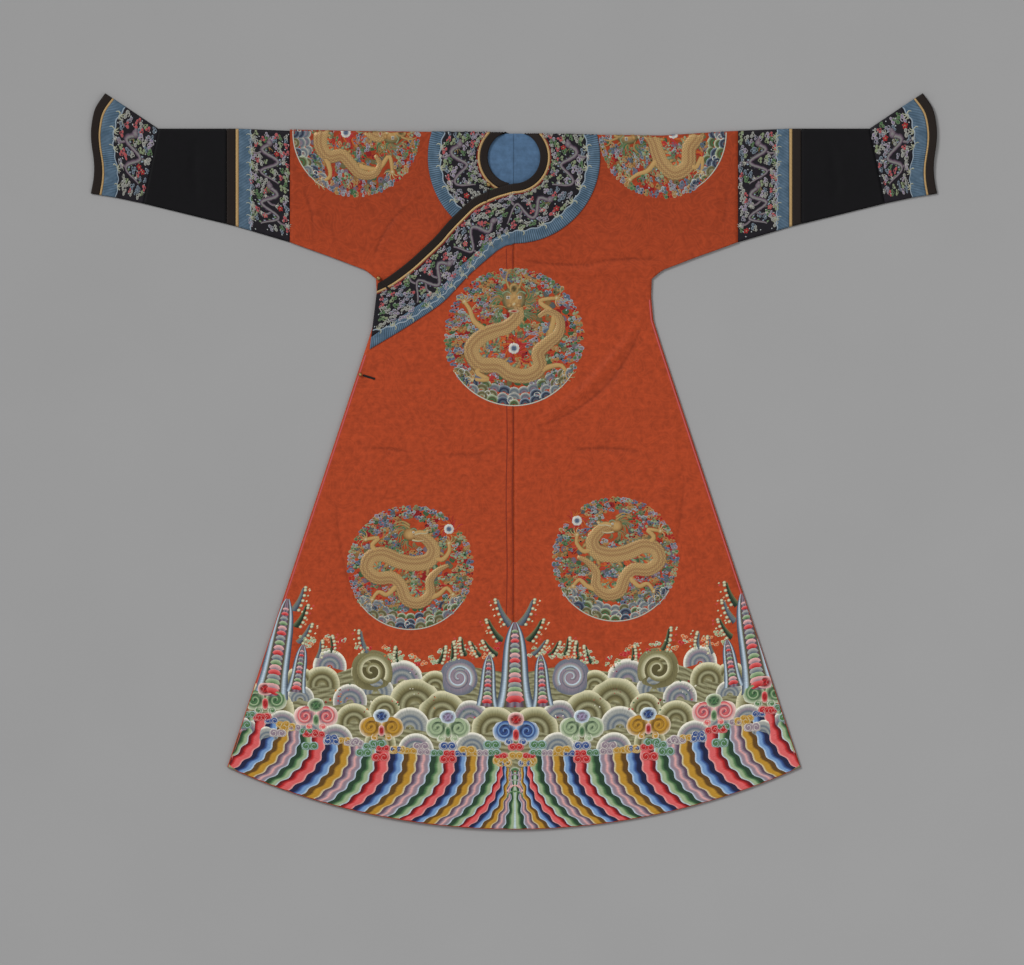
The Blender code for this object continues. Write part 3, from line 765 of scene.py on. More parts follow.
def stitched_material():
    """Silk and couched-thread embroidery, dyed by the piece's own colour attribute."""
    material, graph, shader = new_material("Embroidery")
    dye = graph.put("ShaderNodeAttribute", {"attribute_name": "dye"}).outputs["Color"]
    height, value = graph.shared("Satin threads", thread_group)[:2]
    colour = graph.scaled(dye, graph.spread(value, 0.3, 0.7, 0.72, 1.22))
    graph.finish(shader, colour, height, 0.5, 0.00025, 0.58)
    set_sheen(shader, 0.04, (0.8, 0.75, 0.65))
    return material


def scales_group():
    """Overlapping fish scales on a piece's own UV map: 0 in a scale's middle, 1 at its rim."""
    graph, given, out = new_group("Scales", {"Scales per metre": 185.0}, ("Rim", "Height"))
    rims = []
    counts = [graph.times(part, given[0]) for part in graph.chart()[1:]]
    for shift in (0.0, 0.5):
        reach = []
        for count, middle in zip(counts, (0.15, 0.5)):
            cell = graph.math("FRACT", graph.math("ADD", count, shift))
            reach.append(graph.math("POWER", graph.minus(cell, middle), 2.0))
        rims.append(graph.math("SQRT", graph.math("ADD", *reach)))
    nearest = graph.math("MINIMUM", *rims)
    return put_out(graph, out, graph.spread(nearest, 0.26, 0.42), graph.minus(1.0, nearest))


def scales_material():
    """Couched gold thread in scales, dyed by the piece's own colour attribute."""
    material, graph, shader = new_material("Gold scales")
    dye = graph.put("ShaderNodeAttribute", {"attribute_name": "dye"}).outputs["Color"]
    rim, height = graph.shared("Scales", scales_group)[:2]
    value = graph.shared("Satin threads", thread_group)[1]
    light = graph.scaled(dye, graph.spread(value, 0.3, 0.7, 0.85, 1.12))
    colour = graph.mix(graph.times(rim, 0.62), light, graph.scaled(dye, 0.38))
    graph.finish(shader, colour, height, 0.5, 0.0006, 0.45, 0.25)
    return material


def thread_material(name, dye, metal, rough):
    """Braid, piping or cord: threads run along the piece's own UV map."""
    material, graph, shader = new_material(name)
    height = graph.shared("Satin threads", thread_group, Threads_per_metre=1200.0)[0]
    # Painted shade: the dye falls to half in the grooves between threads, where the height is low.
    colour = graph.mix(height, shade(dye, 0.5), shade(dye, 1.0))
    graph.finish(shader, colour, height, 0.6, 0.0004, rough, metal)
    set_sheen(shader, 0.04, dye)
    return material


def comb_material(dye):
    """The wave border: fine dark lines across the strip, on its own UV map, over blue silk."""
    material, graph, shader = new_material("Wave border silk")
    chart, along, _ = graph.chart()
    lines = graph.math("SINE", graph.times(along, 2100.0))
    wash = graph.put("ShaderNodeTexNoise", Vector=chart, Scale=60.0, Detail=4.0).outputs[0]
    pale = [min(1, c * 1.4 + 0.03) for c in dye]
    colour = graph.mix(graph.ramp(wash, (0.35, (0, 0, 0)), (0.7, (1, 1, 1))), (*dye, 1), (*pale, 1))
    colour = graph.mix(graph.spread(lines, -0.2, 0.8, most=0.8), colour, shade(dye, 0.28))
    graph.finish(shader, colour, lines, 0.35, 0.0002, 0.6)
    set_sheen(shader, 0.04, pale)
    return material


def brass_material():
    """A small cast button: brass with a dulled, slightly pitted skin."""
    material, graph, shader = new_material("Button brass")
    place = graph.put("ShaderNodeTexCoord").outputs["Object"]
    wear = graph.put("ShaderNodeTexNoise", Vector=place, Scale=700.0, Detail=4.0).outputs[0]
    colour = graph.ramp(wear, (0.35, (0.22, 0.13, 0.05)), (0.65, (0.50, 0.34, 0.13)))
    graph.finish(shader, colour, wear, 0.3, 0.0003, 0.38, 1.0)
    return material


def dress(obj, material):
    obj.data.materials.clear()
    obj.data.materials.append(material)
    return obj


# ---- silks
DYES = {
    "navy": linear(28, 32, 62), "blue": linear(52, 78, 132), "sky": linear(112, 146, 188),
    "ice": linear(186, 204, 218), "white": linear(226, 222, 208), "cream": linear(206, 200, 166),
    "reed": linear(158, 156, 122), "sage": linear(150, 168, 132), "green": linear(78, 116, 74),
    "pine": linear(38, 62, 44),
    "olive": linear(124, 118, 82), "moss": linear(84, 78, 48), "lilac": linear(150, 136, 166),
    "mauve": linear(140, 124, 134), "plum": linear(88, 70, 88), "pink": linear(214, 160, 156),
    "rose": linear(206, 92, 92), "red": linear(176, 36, 36), "wine": linear(96, 20, 26),
    "orange": linear(206, 104, 48), "ochre": linear(176, 132, 44), "brown": linear(92, 64, 26),
    "gold": linear(196, 158, 100), "tan": linear(170, 128, 78), "black": linear(22, 20, 24),
    "grey": linear(150, 152, 146), "slate": linear(92, 104, 116), "rust": linear(122, 42, 24),
}  # fmt: skip
# Small-cloud colours, eye to rim.
CLOUDS = (
    "pine green sage", "navy slate ice", "moss olive sage",
    "wine red orange", "brown tan cream", "slate grey ice",
    "plum mauve ice", "moss sage reed", "navy slate sky", "brown tan gold",
)  # fmt: skip
UNDERLAY = ("olive moss", "slate moss", "tan brown", "red wine", "green pine", "mauve plum")
PRESSED = 0.25  # share of its height that stitching keeps on the back, under the robe
SUNK = -0.0004  # a patch's edge goes this far into the cloth, so none stands free


def silks(names):
    """The colours of a run of names, such as "navy blue ice"."""
    return np.array([DYES[name] for name in names.split()])


def silk_rows(runs):
    """A row of colours for each run of names."""
    return np.stack([silks(run) for run in runs])


def trimmed(cut):
    """Cut points moved in to the side edges and hem, and which of them lay outside."""
    u, v = cut[..., 0], cut[..., 1]
    line = dip(u)
    down = line + np.abs(v - line)
    reach = side(down) - 0.0016
    inside_u = np.clip(u, -reach, reach)
    most = hem(inside_u) - 0.0014
    inside_down = np.minimum(down, most)
    outside = (np.abs(u) > reach) | (down > most)
    moved = np.where(v >= line, inside_down, 2 * line - inside_down)
    return np.stack([inside_u, moved], -1), outside


class Stitching:
    """Patches of embroidery, kept as grids of cut points, lifts, colours and thread charts."""

    def __init__(self):
        self.batches = []
        self.frame((0.0, 0.0), 1.0)

    def frame(self, centre, scale=1.0, turn=0.0, flip=1.0, back=False, place=None):
        """Where the next motifs go: flipped, scaled, turned and moved, then mapped by place."""
        cos, sin = math.cos(turn), math.sin(turn)
        self.matrix = scale * np.array([[cos * flip, -sin], [sin * flip, cos]])
        self.centre, self.scale, self.back, self.place = np.array(centre), scale, back, place

    def add(self, points, lift, colour, chart):
        """Grids (n, rows, columns) of local points, with a lift, a colour and a chart each."""
        points = points @ self.matrix.T + self.centre
        if self.place:
            points = self.place(points)
        if self.back:
            points[..., 1] = 2 * dip(points[..., 0]) - points[..., 1]
        shape = points.shape[:3]
        self.batches.append((
            points, np.broadcast_to(lift, shape), np.broadcast_to(colour, (*shape, 3)), chart * self.scale,
        ))  # fmt: skip

    def ribbons(self, paths, widths, colours, lift=0.0004, dome=0.0005):
        """Strips along paths (n, p, 2), widths (n, p), colours across (n, k, 3) or a run of names.

        Across a strip its height is lift + dome (1 - x^2), and its edges and ends are sunk.
        """
        paths = np.array(paths, float).reshape(-1, *np.shape(paths)[-2:])
        count, steps = paths.shape[:2]
        colours = silks(colours) if isinstance(colours, str) else colours
        colours = colours.reshape(1, 1, -1, 3) if colours.ndim == 2 else colours
        colours = colours[:, None] if colours.ndim == 3 else colours
        columns = colours.shape[2]
        run = np.gradient(paths, axis=1)
        run = run / (np.linalg.norm(run, axis=-1, keepdims=True) + 1e-9)
        beside = np.stack([-run[..., 1], run[..., 0]], -1)
        across = np.linspace(-1.0, 1.0, columns)
        half = np.broadcast_to(widths, (count, steps)) / 2
        points = paths[:, :, None] + beside[:, :, None] * (half[..., None] * across)[..., None]
        height = np.where(np.abs(across) > 0.99, SUNK, lift + dome * (1 - across**2))
        height = np.broadcast_to(height, (count, steps, columns)).copy()
        height[:, [0, -1]] = SUNK
        gaps = np.linalg.norm(np.diff(paths, axis=1), axis=-1)
        length = np.concatenate([np.zeros((count, 1)), np.cumsum(gaps, axis=1)], axis=1)
        chart = np.stack([length[..., None] + 0 * across, half[..., None] * across], -1)
        self.add(points, height, colours, chart)

    def pads(self, centres, radii, turns, colours, cells=4, lift=0.0004, dome=0.0006):
        """Domed discs made from squares: centres (n, 2), radii (n, 2), colours outwards as in ribbons."""
        centres = np.array(centres, float).reshape(-1, 2)
        count = len(centres)
        radii = np.broadcast_to(radii, (count, 2))
        turns = np.broadcast_to(turns, count)
        colours = silks(colours) if isinstance(colours, str) else colours
        colours = np.broadcast_to(colours, (count, *colours.shape[-2:]))
        a = np.linspace(-1.0, 1.0, cells + 1)[None, :]
        b = a.T
        x, y = a * np.sqrt(1 - b * b / 2), b * np.sqrt(1 - a * a / 2)
        r = np.minimum(np.hypot(x, y), 1.0)
        stop = r * (colours.shape[1] - 1)
        index = np.minimum(stop.astype(int), colours.shape[1] - 2)
        share = (stop - index)[None, ..., None]
        colour = colours[:, index] * (1 - share) + colours[:, index + 1] * share
        across, along = radii[:, 0, None, None] * x, radii[:, 1, None, None] * y
        cos, sin = np.cos(turns)[:, None, None], np.sin(turns)[:, None, None]
        points = np.stack([across * cos - along * sin, across * sin + along * cos], -1)
        height = np.where(r > 0.99, SUNK, lift + dome * (1 - r * r))
        self.add(points + centres[:, None, None], height, colour, np.stack([across, along], -1))

    def build(self, name, over=False, base=0.0, trim=False, depth=1.0):
        """One mesh of every patch, each turned so that its faces look away from the cloth.

        Patches on the back lie pressed by the robe's weight.  trim cuts them at the robe's
        side edges and hem, and depth below 1 deepens every dye.
        """
        points, faces, colours, charts, start = [], [], [], [], 0
        for cut, lift, colour, chart in self.batches:
            count, rows, columns = cut.shape[:3]
            line = dip(cut[..., 0])
            pressed = PRESSED + (1 - PRESSED) * ease((cut[..., 1] - line + 0.010) / 0.020)
            lift = np.where(lift > 0, lift * pressed, lift)
            outside = np.zeros(cut.shape[:3], bool)
            if trim:
                cut, outside = trimmed(cut)
            laid = lay(cut[..., 0], cut[..., 1], lift + base, over).reshape(count, -1, 3)
            quads = grid_quads(rows, columns)
            a, b, c, d = (laid[:, quads[:, i]] for i in range(4))
            up = np.cross(c - a, d - b)[..., 2]
            facing = np.where(cut[..., 1] > dip(cut[..., 0]), 1.0, -1.0).reshape(count, -1)[:, quads[:, 0]]
            wrong = (up * facing).sum(1) < 0
            turned_quads = np.where(wrong[:, None, None], quads[None, :, ::-1], quads[None])
            offsets = start + np.arange(count)[:, None, None] * rows * columns
            kept = ~outside.reshape(count, -1)[:, quads].all(-1).reshape(-1)
            faces.append((turned_quads + offsets).reshape(-1, 4)[kept])
            points.append(laid.reshape(-1, 3))
            colours.append(colour.reshape(-1, 3) * depth)
            charts.append(chart.reshape(-1, 2))
            start += count * rows * columns
        used, quads = np.unique(np.concatenate(faces), return_inverse=True)
        points, charts, colours = (np.concatenate(part)[used] for part in (points, charts, colours))
        return new_mesh(name, points, quads.reshape(-1, 4), charts, colours)


# ---- motifs
def curve(*points, count=24):
    """A smooth path through points."""
    return smooth_rows(np.array(points, float), count)


def spiral(centre, radius, turns, start=0.0, hand=1.0, count=26, core=0.12):
    """A spiral path inwards: its radius falls evenly to core of the first."""
    t = np.linspace(0.0, 1.0, count)
    angle = start + hand * turns * 2 * np.pi * t
    r = radius * (1 - (1 - core) * t)
    return np.stack([centre[0] + r * np.cos(angle), centre[1] + r * np.sin(angle)], -1)


def turned(points, angles, sizes, centres):
    """Local points (p, 2) turned, scaled and moved for each of n copies: (n, p, 2)."""
    cos, sin = np.cos(angles)[:, None], np.sin(angles)[:, None]
    x, y = points[None, :, 0], points[None, :, 1]
    spun = np.stack([x * cos - y * sin, x * sin + y * cos], -1)
    return spun * sizes[:, None, None] + centres[:, None]


def scatter(rng, low, high, step):
    """Points on a staggered lattice between two corners, each shifted by up to a third of a step."""
    x, y = np.meshgrid(np.arange(low[0], high[0], step), np.arange(low[1], high[1], step * 0.87))
    x = x + step / 2 * (np.arange(len(y)) % 2)[:, None]
    points = np.stack([x, y], -1).reshape(-1, 2)
    return points + rng.uniform(-step / 3, step / 3, points.shape)


def clear_of(points, paths, widths):
    """True where a point is further from every path than half its width."""
    clear = np.ones(len(points), bool)
    for path, width in zip(paths, widths):
        gap = np.linalg.norm(points[:, None] - path[None], axis=-1).min(1)
        clear &= gap > width / 2
    return clear


def small_clouds(st, rng, points, size, families=CLOUDS, lift=0.0004, cells=3):
    """Curled clouds: two eyed lobes and a hooked tail each, in the families' colours."""
    count = len(points)
    if not count:
        return
    angles = rng.choice([0.0, np.pi], count) + rng.uniform(-0.6, 0.6, count)
    sizes = size * rng.uniform(0.8, 1.15, count)
    pick = rng.integers(0, len(families), count)
    colours = silk_rows(families)[pick]
    lobes = turned(np.array([(-0.42, 0.05), (0.38, 0.12)]), angles, sizes, points)
    for i, r in enumerate((0.56, 0.46)):
        radii = sizes[:, None] * np.array([r, r * 0.82])
        st.pads(lobes[:, i], radii, angles, colours, cells, lift, 0.0006)
    tail = turned(spiral((0.1, -0.22), 0.5, 0.55, 2.6, 1.0, 8, 0.35), angles, sizes, points)
    st.ribbons(tail, sizes[:, None] * 0.27, colours[:, [2, 1, 2]], lift + 0.0001, 0.0005)


def speckle(st, rng, points, radii, runs, cells, lift, dome, spin=0.0):
    """Small pads at points, each in one of the runs of dyes and turned by up to spin."""
    turns = rng.uniform(0, spin, len(points)) if spin else 0.0
    rows = silk_rows(runs)[rng.integers(0, len(runs), len(points))]
    st.pads(points, radii, turns, rows, cells, lift, dome)


def eyes(st, points, radius, colours, cells=2):
    st.pads(points, (radius, radius), 0.0, colours, cells, 0.0006, 0.0006)


def flames(st, rng, root, heading, count, length, spread, colours, width=0.035):
    """Tongues that leave a root in a fan, each bent to one side and thinning to its tip."""
    fan = heading + np.linspace(-spread, spread, count) + rng.uniform(-0.1, 0.1, count)
    t = np.linspace(0.0, 1.0, 9)
    wave = 0.16 * np.sin(t * 5.5)
    local = np.stack([t, wave], -1)
    lengths = length * rng.uniform(0.7, 1.1, count)
    paths = turned(local, fan, lengths, np.repeat(np.array([root], float), count, 0))
    rows = silk_rows(colours)[rng.integers(0, len(colours), count)]
    st.ribbons(paths, width * (1 - 0.75 * t)[None], rows, 0.0005, 0.0006)


FIRE = ("wine red orange", "red orange ochre", "rose red rose")
MANE = ("pine green sage", "moss olive sage", "brown tan olive")


def claw(st, rng, elbow, wrist, foot):
    """A leg from the body through its elbow to a foot of five hooked talons."""
    leg = curve(elbow[0], elbow[1], wrist, foot, count=14)
    t = np.linspace(0, 1, 14)
    st.ribbons(leg, 0.115 - 0.055 * t, "brown gold gold gold brown", 0.0007, 0.0009)
    heading = math.atan2(foot[1] - wrist[1], foot[0] - wrist[0])
    flames(st, rng, wrist, heading + 2.4, 4, 0.20, 0.5, FIRE, 0.035)
    fan = heading + np.linspace(-1.25, 1.25, 5)
    hook = np.stack([np.linspace(0, 1, 7), 0.35 * np.sin(np.linspace(0, 2.6, 7))], -1)
    paths = turned(hook, fan, np.full(5, 0.135), np.repeat(np.array([foot], float), 5, 0))
    st.ribbons(paths, np.linspace(0.036, 0.012, 7)[None], "brown gold cream", 0.0009, 0.0006)
    eyes(st, [foot], 0.05, "cream gold brown", 4)


def pearl(st, rng, centre, size=0.085):
    """The flaming pearl: a white ring about a dark blue heart, with red tongues round it."""
    for heading in (0.3, 1.9, 3.4, 5.0):
        flames(st, rng, centre, heading, 4, size * 2.6, 0.55, FIRE, 0.045)
    st.pads([centre], size, 0.0, "slate slate blue white white ice", 8, 0.0013, 0.0004)


class Sketch:
    """Draws strokes and discs in units of a head's size about its centre."""

    def __init__(self, st, rng, centre, size):
        self.st, self.rng, self.centre, self.size = st, rng, np.array(centre, float), size

    def at(self, across, down):
        return self.centre + np.array([across, down]) * self.size

    def stroke(self, points, widths, dyes, lift, dome, count):
        """A band along a curve; widths are those at its start and end, in the roundel's units."""
        path = curve(*(self.at(*point) for point in points), count=count)
        self.st.ribbons(path, np.linspace(*widths, count), dyes, lift, dome)

    def disc(self, point, radii, dyes, cells, lift, dome, turn=0.0):
        self.st.pads([self.at(*point)], np.array(radii) * self.size, turn, dyes, cells, lift, dome)

    def hair(self, point, heading, count, length, spread, width):
        flames(self.st, self.rng, self.at(*point), heading, count, length * self.size, spread, MANE, width)


def front_head(st, rng, centre, size):
    """A dragon's face seen from the front: mane, horns, brows, eyes, muzzle, jaw and whiskers."""
    face = Sketch(st, rng, centre, size)
    for hand in (-1, 1):
        face.hair((0.5 * hand, 0.1), -1.57 + 1.1 * hand, 13, 0.85, 1.1, 0.055)
        face.hair((0.5 * hand, 0.5), 1.57 - 1.0 * hand, 8, 0.7, 0.8, 0.05)
        horn = ((0.2 * hand, -0.4), (0.35 * hand, -0.85), (0.25 * hand, -1.2))
        face.stroke(horn, (0.06, 0.02), "moss gold moss", 0.0010, 0.0007, 12)
        prong = ((0.33 * hand, -0.75), (0.55 * hand, -0.9), (0.62 * hand, -1.1))
        face.stroke(prong, (0.04, 0.015), "moss gold moss", 0.0010, 0.0006, 8)
    face.disc((0, 0.05), (0.58, 0.62), "tan gold tan olive brown", 8, 0.0012, 0.0006)
    face.disc((0, -0.42), (0.26, 0.3), "brown moss gold moss", 6, 0.0016, 0.0005)
    for hand in (-1, 1):
        brow = ((0.08 * hand, -0.12), (0.3 * hand, -0.3), (0.55 * hand, -0.18))
        face.stroke(brow, (0.15 * size, 0.15 * size), "pine sage pine", 0.0018, 0.0004, 9)
        face.disc((0.26 * hand, -0.02), (0.15, 0.12), "black black white brown", 4, 0.0019, 0.0003)
        face.disc((0.2 * hand, 0.34), (0.2, 0.14), "gold tan brown", 4, 0.0019, 0.0003, 0.2 * hand)
        whisker = ((0.3 * hand, 0.45), (0.75 * hand, 0.35), (1.05 * hand, 0.65), (1.3 * hand, 0.45))
        face.stroke(whisker, (0.03, 0.012), "brown gold brown", 0.0014, 0.0005, 18)
    face.disc((0, 0.28), (0.17, 0.17), "cream gold brown", 4, 0.0021, 0.0004)
    face.disc((0, 0.6), (0.3, 0.1), "wine red cream brown", 6, 0.0018, 0.0003)
    face.hair((0, 0.62), 1.57, 7, 0.42, 0.9, 0.032)


def side_head(st, rng, centre, size):
    """A dragon's head in profile, looking towards +x, with its jaws open."""
    face = Sketch(st, rng, centre, size)
    face.hair((-0.35, -0.1), 3.3, 10, 0.95, 1.15, 0.045)
    face.hair((-0.2, 0.4), 2.2, 7, 0.65, 0.8, 0.04)
    for rise in (0.0, 0.16):
        horn = ((-0.1, -0.35 - rise), (-0.55, -0.6 - rise), (-1.1, -0.45 - rise))
        face.stroke(horn, (0.055, 0.02), "moss gold moss", 0.0012, 0.0007, 14)
    face.disc((-0.1, 0.0), (0.48, 0.42), "gold gold tan brown", 8, 0.0012, 0.0006)
    upper = ((0.1, -0.02), (0.5, -0.12), (0.85, -0.1), (1.0, -0.3))
    face.stroke(upper, (0.42 * size, 0.2 * size), "brown gold gold cream brown", 0.0014, 0.0008, 14)
    jaw = ((0.0, 0.32), (0.4, 0.4), (0.75, 0.35))
    face.stroke(jaw, (0.24 * size, 0.12 * size), "brown gold cream brown", 0.0013, 0.0007, 12)
    tongue = ((0.15, 0.16), (0.5, 0.16), (0.9, 0.1))
    face.stroke(tongue, (0.13 * size, 0.13 * size), "wine red wine", 0.0012, 0.0005, 9)
    face.disc((0.92, -0.2), (0.15, 0.13), "cream gold brown", 4, 0.0020, 0.0004)
    face.disc((0.1, -0.12), (0.12, 0.1), "black white brown", 4, 0.0021, 0.0003)
    brow = ((-0.1, -0.22), (0.12, -0.34), (0.34, -0.2))
    face.stroke(brow, (0.14 * size, 0.14 * size), "pine sage pine", 0.0020, 0.0004, 9)
    whisker = ((0.85, -0.05), (1.2, 0.25), (1.0, 0.6), (1.25, 0.8))
    face.stroke(whisker, (0.028, 0.012), "brown gold brown", 0.0014, 0.0005, 16)
    face.hair((0.2, 0.5), 1.7, 5, 0.4, 0.5, 0.03)


def dragon_body(st, fine, path, widths):
    """A scaled body along a path, with a belly stripe, and fins down its back."""
    steps = len(path)
    width = np.interp(np.linspace(0, 1, steps), np.linspace(0, 1, len(widths)), widths)
    colours = silks("brown gold gold gold tan gold tan gold brown")
    st.ribbons(path, width, colours, 0.0009, 0.0009)
    run = np.gradient(path, axis=0)
    run /= np.linalg.norm(run, axis=1, keepdims=True)
    out = np.stack([run[:, 1], -run[:, 0]], -1)
    spots = np.arange(3, steps - 2, 2)
    rooted = path[spots] + out[spots] * (width[spots] * 0.5)[:, None]
    lean = np.arctan2(out[spots, 1], out[spots, 0]) + 0.6
    pairs = silk_rows(("orange red", "sage pine", "gold brown"))[np.arange(len(spots)) % 3]
    radii = width[spots][:, None] * np.array([0.40, 0.17])
    fine.pads(rooted, radii, lean, pairs, 2, 0.0006, 0.0008)


def fan(st, centre, radius, heading, dyes, reach=1.92, lift=0.0004, dome=0.0009, steps=28):
    """A round swell: a fan of arcs about a centre, high at its crest and low at its foot."""
    turn = np.linspace(-reach, reach, steps)
    angle = heading + turn
    arc = np.stack([centre[0] + 0.54 * radius * np.cos(angle), centre[1] + 0.54 * radius * np.sin(angle)], -1)
    st.ribbons(arc[::-1], 0.92 * radius, dyes, lift, dome)
    points, height, colour, chart = st.batches.pop()
    rise = 0.25 + 0.75 * np.clip(np.cos(turn[::-1]), 0, 1) ** 1.3
    st.batches.append((points, np.where(height > 0, height * rise[None, :, None], height), colour, chart))
    st.pads([centre], (0.12 * radius, 0.12 * radius), 0.0, silks(dyes)[1::-1], 2, lift * 0.7, dome * 0.2)


WATER = (
    "olive reed moss olive ice", "slate grey slate grey white",
    "pine green moss sage white", "plum mauve slate grey white",
    "navy slate navy slate ice",
)  # fmt: skip


def roundel_waves(st, rng):
    """Rolling water along the foot of a roundel: rows of pale-crested swells and a few curls."""
    arcs = ((0.80, 0.86, 2.28, 9), (0.88, 0.66, 2.48, 11), (0.955, 0.58, 2.56, 13))
    for row, (reach, low, high, count) in enumerate(arcs):
        for angle in np.linspace(low, high, count):
            centre = (reach * math.cos(angle), reach * math.sin(angle))
            size = rng.uniform(0.085, 0.125)
            dyes = WATER[rng.integers(0, 5)]
            fan(st, centre, size, angle + np.pi, dyes, 1.75, 0.0004 + 0.0002 * row, 0.0006, 13)
    rim = np.linspace(0.52, 2.62, 70)
    st.ribbons(0.968 * np.stack([np.cos(rim), np.sin(rim)], -1), 0.022, "slate white sage", 0.0010, 0.0004)
    for angle in (0.62, 0.8, 1.2, 1.62, 2.0, 2.38, 2.55):
        centre = (0.88 * math.cos(angle), 0.88 * math.sin(angle))
        curl = spiral(centre, 0.062, 1.2, angle, 1 if angle > 1.57 else -1, 14, 0.15)
        st.ribbons(curl, 0.026, "slate white sage", 0.0010, 0.0004)


# Dragon designs in a roundel of radius 1, x to the right and y down.
FRONT_DRAGON = {
    "path": (
        (0.02, -0.48), (0.06, -0.30), (-0.10, -0.14), (-0.28, -0.08), (-0.46, 0.00),
        (-0.60, 0.18), (-0.48, 0.38), (-0.22, 0.40), (-0.04, 0.52), (0.20, 0.54), (0.36, 0.42),
        (0.34, 0.22), (0.48, 0.08), (0.63, -0.06),
        (0.64, -0.26), (0.48, -0.36), (0.34, -0.28),
    ),
    "widths": (0.16, 0.22, 0.25, 0.25, 0.25, 0.24, 0.22, 0.19, 0.13, 0.06),
    "legs": (
        (((-0.38, -0.08), (-0.56, -0.22)), (-0.62, -0.38), (-0.70, -0.50)),
        (((0.50, -0.02), (0.56, -0.32)), (0.36, -0.50), (0.60, -0.55)),
        (((-0.40, 0.36), (-0.52, 0.50)), (-0.36, 0.60), (-0.58, 0.60)),
        (((0.32, 0.50), (0.50, 0.42)), (0.66, 0.40), (0.74, 0.50)),
    ),
    "pearl": (0.0, 0.16),
}
SIDE_DRAGON = {
    "path": (
        (0.00, -0.52), (0.20, -0.48), (0.36, -0.30), (0.30, -0.12), (0.08, -0.06),
        (-0.18, -0.10), (-0.42, -0.20), (-0.62, -0.16), (-0.68, 0.02), (-0.52, 0.16), (-0.28, 0.16),
        (-0.14, 0.30), (-0.06, 0.50),
        (0.14, 0.55), (0.30, 0.42), (0.30, 0.20), (0.44, 0.04), (0.60, -0.04),
    ),
    "widths": (0.14, 0.22, 0.28, 0.28, 0.26, 0.24, 0.23, 0.22, 0.20, 0.14, 0.06),
    "legs": (
        (((0.30, -0.20), (0.48, -0.12)), (0.60, -0.24), (0.60, -0.38)),
        (((-0.46, -0.18), (-0.60, -0.34)), (-0.50, -0.46), (-0.70, -0.44)),
        (((-0.20, 0.26), (-0.36, 0.42)), (-0.50, 0.38), (-0.60, 0.50)),
        (((0.24, 0.50), (0.44, 0.42)), (0.56, 0.32), (0.66, 0.42)),
    ),
    "pearl": (0.60, -0.60),
}  # fmt: skip


def roundel(scales, fine, seed, design, centre, radius, turn=0.0, flip=1.0, back=False):
    """A dragon among clouds above water: scaled bodies go to one mesh, the rest to the other."""
    rng = np.random.default_rng(seed)
    for st in (scales, fine):
        st.frame(centre, radius, turn, flip, back)
    path = curve(*design["path"], count=96)
    dragon_body(scales, fine, path, design["widths"])
    face_on = design is FRONT_DRAGON
    head = (0.0, -0.55) if face_on else (0.02, -0.52)
    keep_out, gaps = [path, np.array([head]), np.array([design["pearl"]])], [0.25, 0.5, 0.34]
    for body, wrist, foot in design["legs"]:
        claw(fine, rng, body, wrist, foot)
        keep_out.append(curve(body[1], wrist, foot, count=10))
        gaps.append(0.12)
    patches = scatter(rng, (-1, -1), (1, 1), 0.105)
    kept = (np.hypot(*patches.T) < 0.91) & (patches[:, 1] < 0.70)
    patches = patches[kept & clear_of(patches, keep_out[1:], gaps[1:])]
    speckle(fine, rng, patches, (0.082, 0.070), UNDERLAY, 3, 0.0, 0.0003, 3)
    points = scatter(rng, (-1, -1), (1, 1), 0.080)
    reach = np.hypot(*points.T)[:, None]
    points = np.where(reach > 0.87, points / reach * 0.935, points)[reach[:, 0] < 0.99]
    foot_line = 0.66 + 0.08 * np.abs(points[:, 0])
    points = points[(points[:, 1] < foot_line) & clear_of(points, keep_out, gaps)]
    small_clouds(fine, rng, points, 0.070)
    dots = scatter(rng, (-1, -1), (1, 1), 0.105)
    kept = (np.hypot(*dots.T) < 0.97) & (dots[:, 1] < 0.7)
    dots = dots[kept & clear_of(dots, keep_out, gaps)]
    tones = ("black black", "black navy", "wine red", "ice grey", "black pine")
    speckle(fine, rng, dots, 0.019, tones, 2, 0.0009, 0.0006)
    tongues = (((0.05, 0.02), 0.3), ((-0.1, 0.02), 2.9), ((0.1, 0.3), 0.2), ((-0.2, 0.28), 2.6))
    for place, heading in tongues:
        flames(fine, rng, place, heading, 6, 0.26, 0.8, FIRE, 0.05)
    roundel_waves(fine, rng)
    pearl(fine, rng, design["pearl"])
    if face_on:
        front_head(fine, rng, head, 0.31)
    else:
        side_head(fine, rng, head, 0.26)


# ---- the sea along the hem
MIRROR_U = 0.004  # the hem's pattern is mirrored about half of this
# Swells of the left half: across, down, radius, colour row.
SWELLS = np.array([
    (-0.374, 1.088, 0.037, 1), (-0.300, 1.100, 0.034, 0), (-0.436, 1.120, 0.034, 0),
    (-0.227, 1.119, 0.047, 1), (-0.110, 1.108, 0.036, 2), (-0.390, 1.125, 0.041, 0),
    (-0.160, 1.130, 0.036, 0), (-0.280, 1.140, 0.040, 2), (-0.434, 1.155, 0.032, 2),
    (-0.333, 1.159, 0.039, 1), (-0.201, 1.167, 0.060, 0), (-0.262, 1.179, 0.036, 0),
    (-0.5075, 1.183, 0.069, 0), (-0.146, 1.188, 0.055, 0), (-0.089, 1.196, 0.043, 1),
    (-0.325, 1.202, 0.043, 0), (-0.471, 1.210, 0.037, 1), (-0.211, 1.212, 0.045, 2),
    (-0.039, 1.218, 0.053, 0), (-0.548, 1.222, 0.034, 1), (-0.415, 1.226, 0.034, 2),
    (-0.363, 1.242, 0.041, 1), (-0.272, 1.246, 0.036, 0), (-0.085, 1.257, 0.039, 2),
    (-0.199, 1.261, 0.041, 1), (-0.500, 1.238, 0.032, 2),
])  # fmt: skip
SWELL_DYES = (
    "reed olive moss reed moss olive reed cream cream",
    "grey mauve slate grey slate mauve grey white cream",
    "grey grey slate grey slate grey grey white cream",
)  # fmt: skip
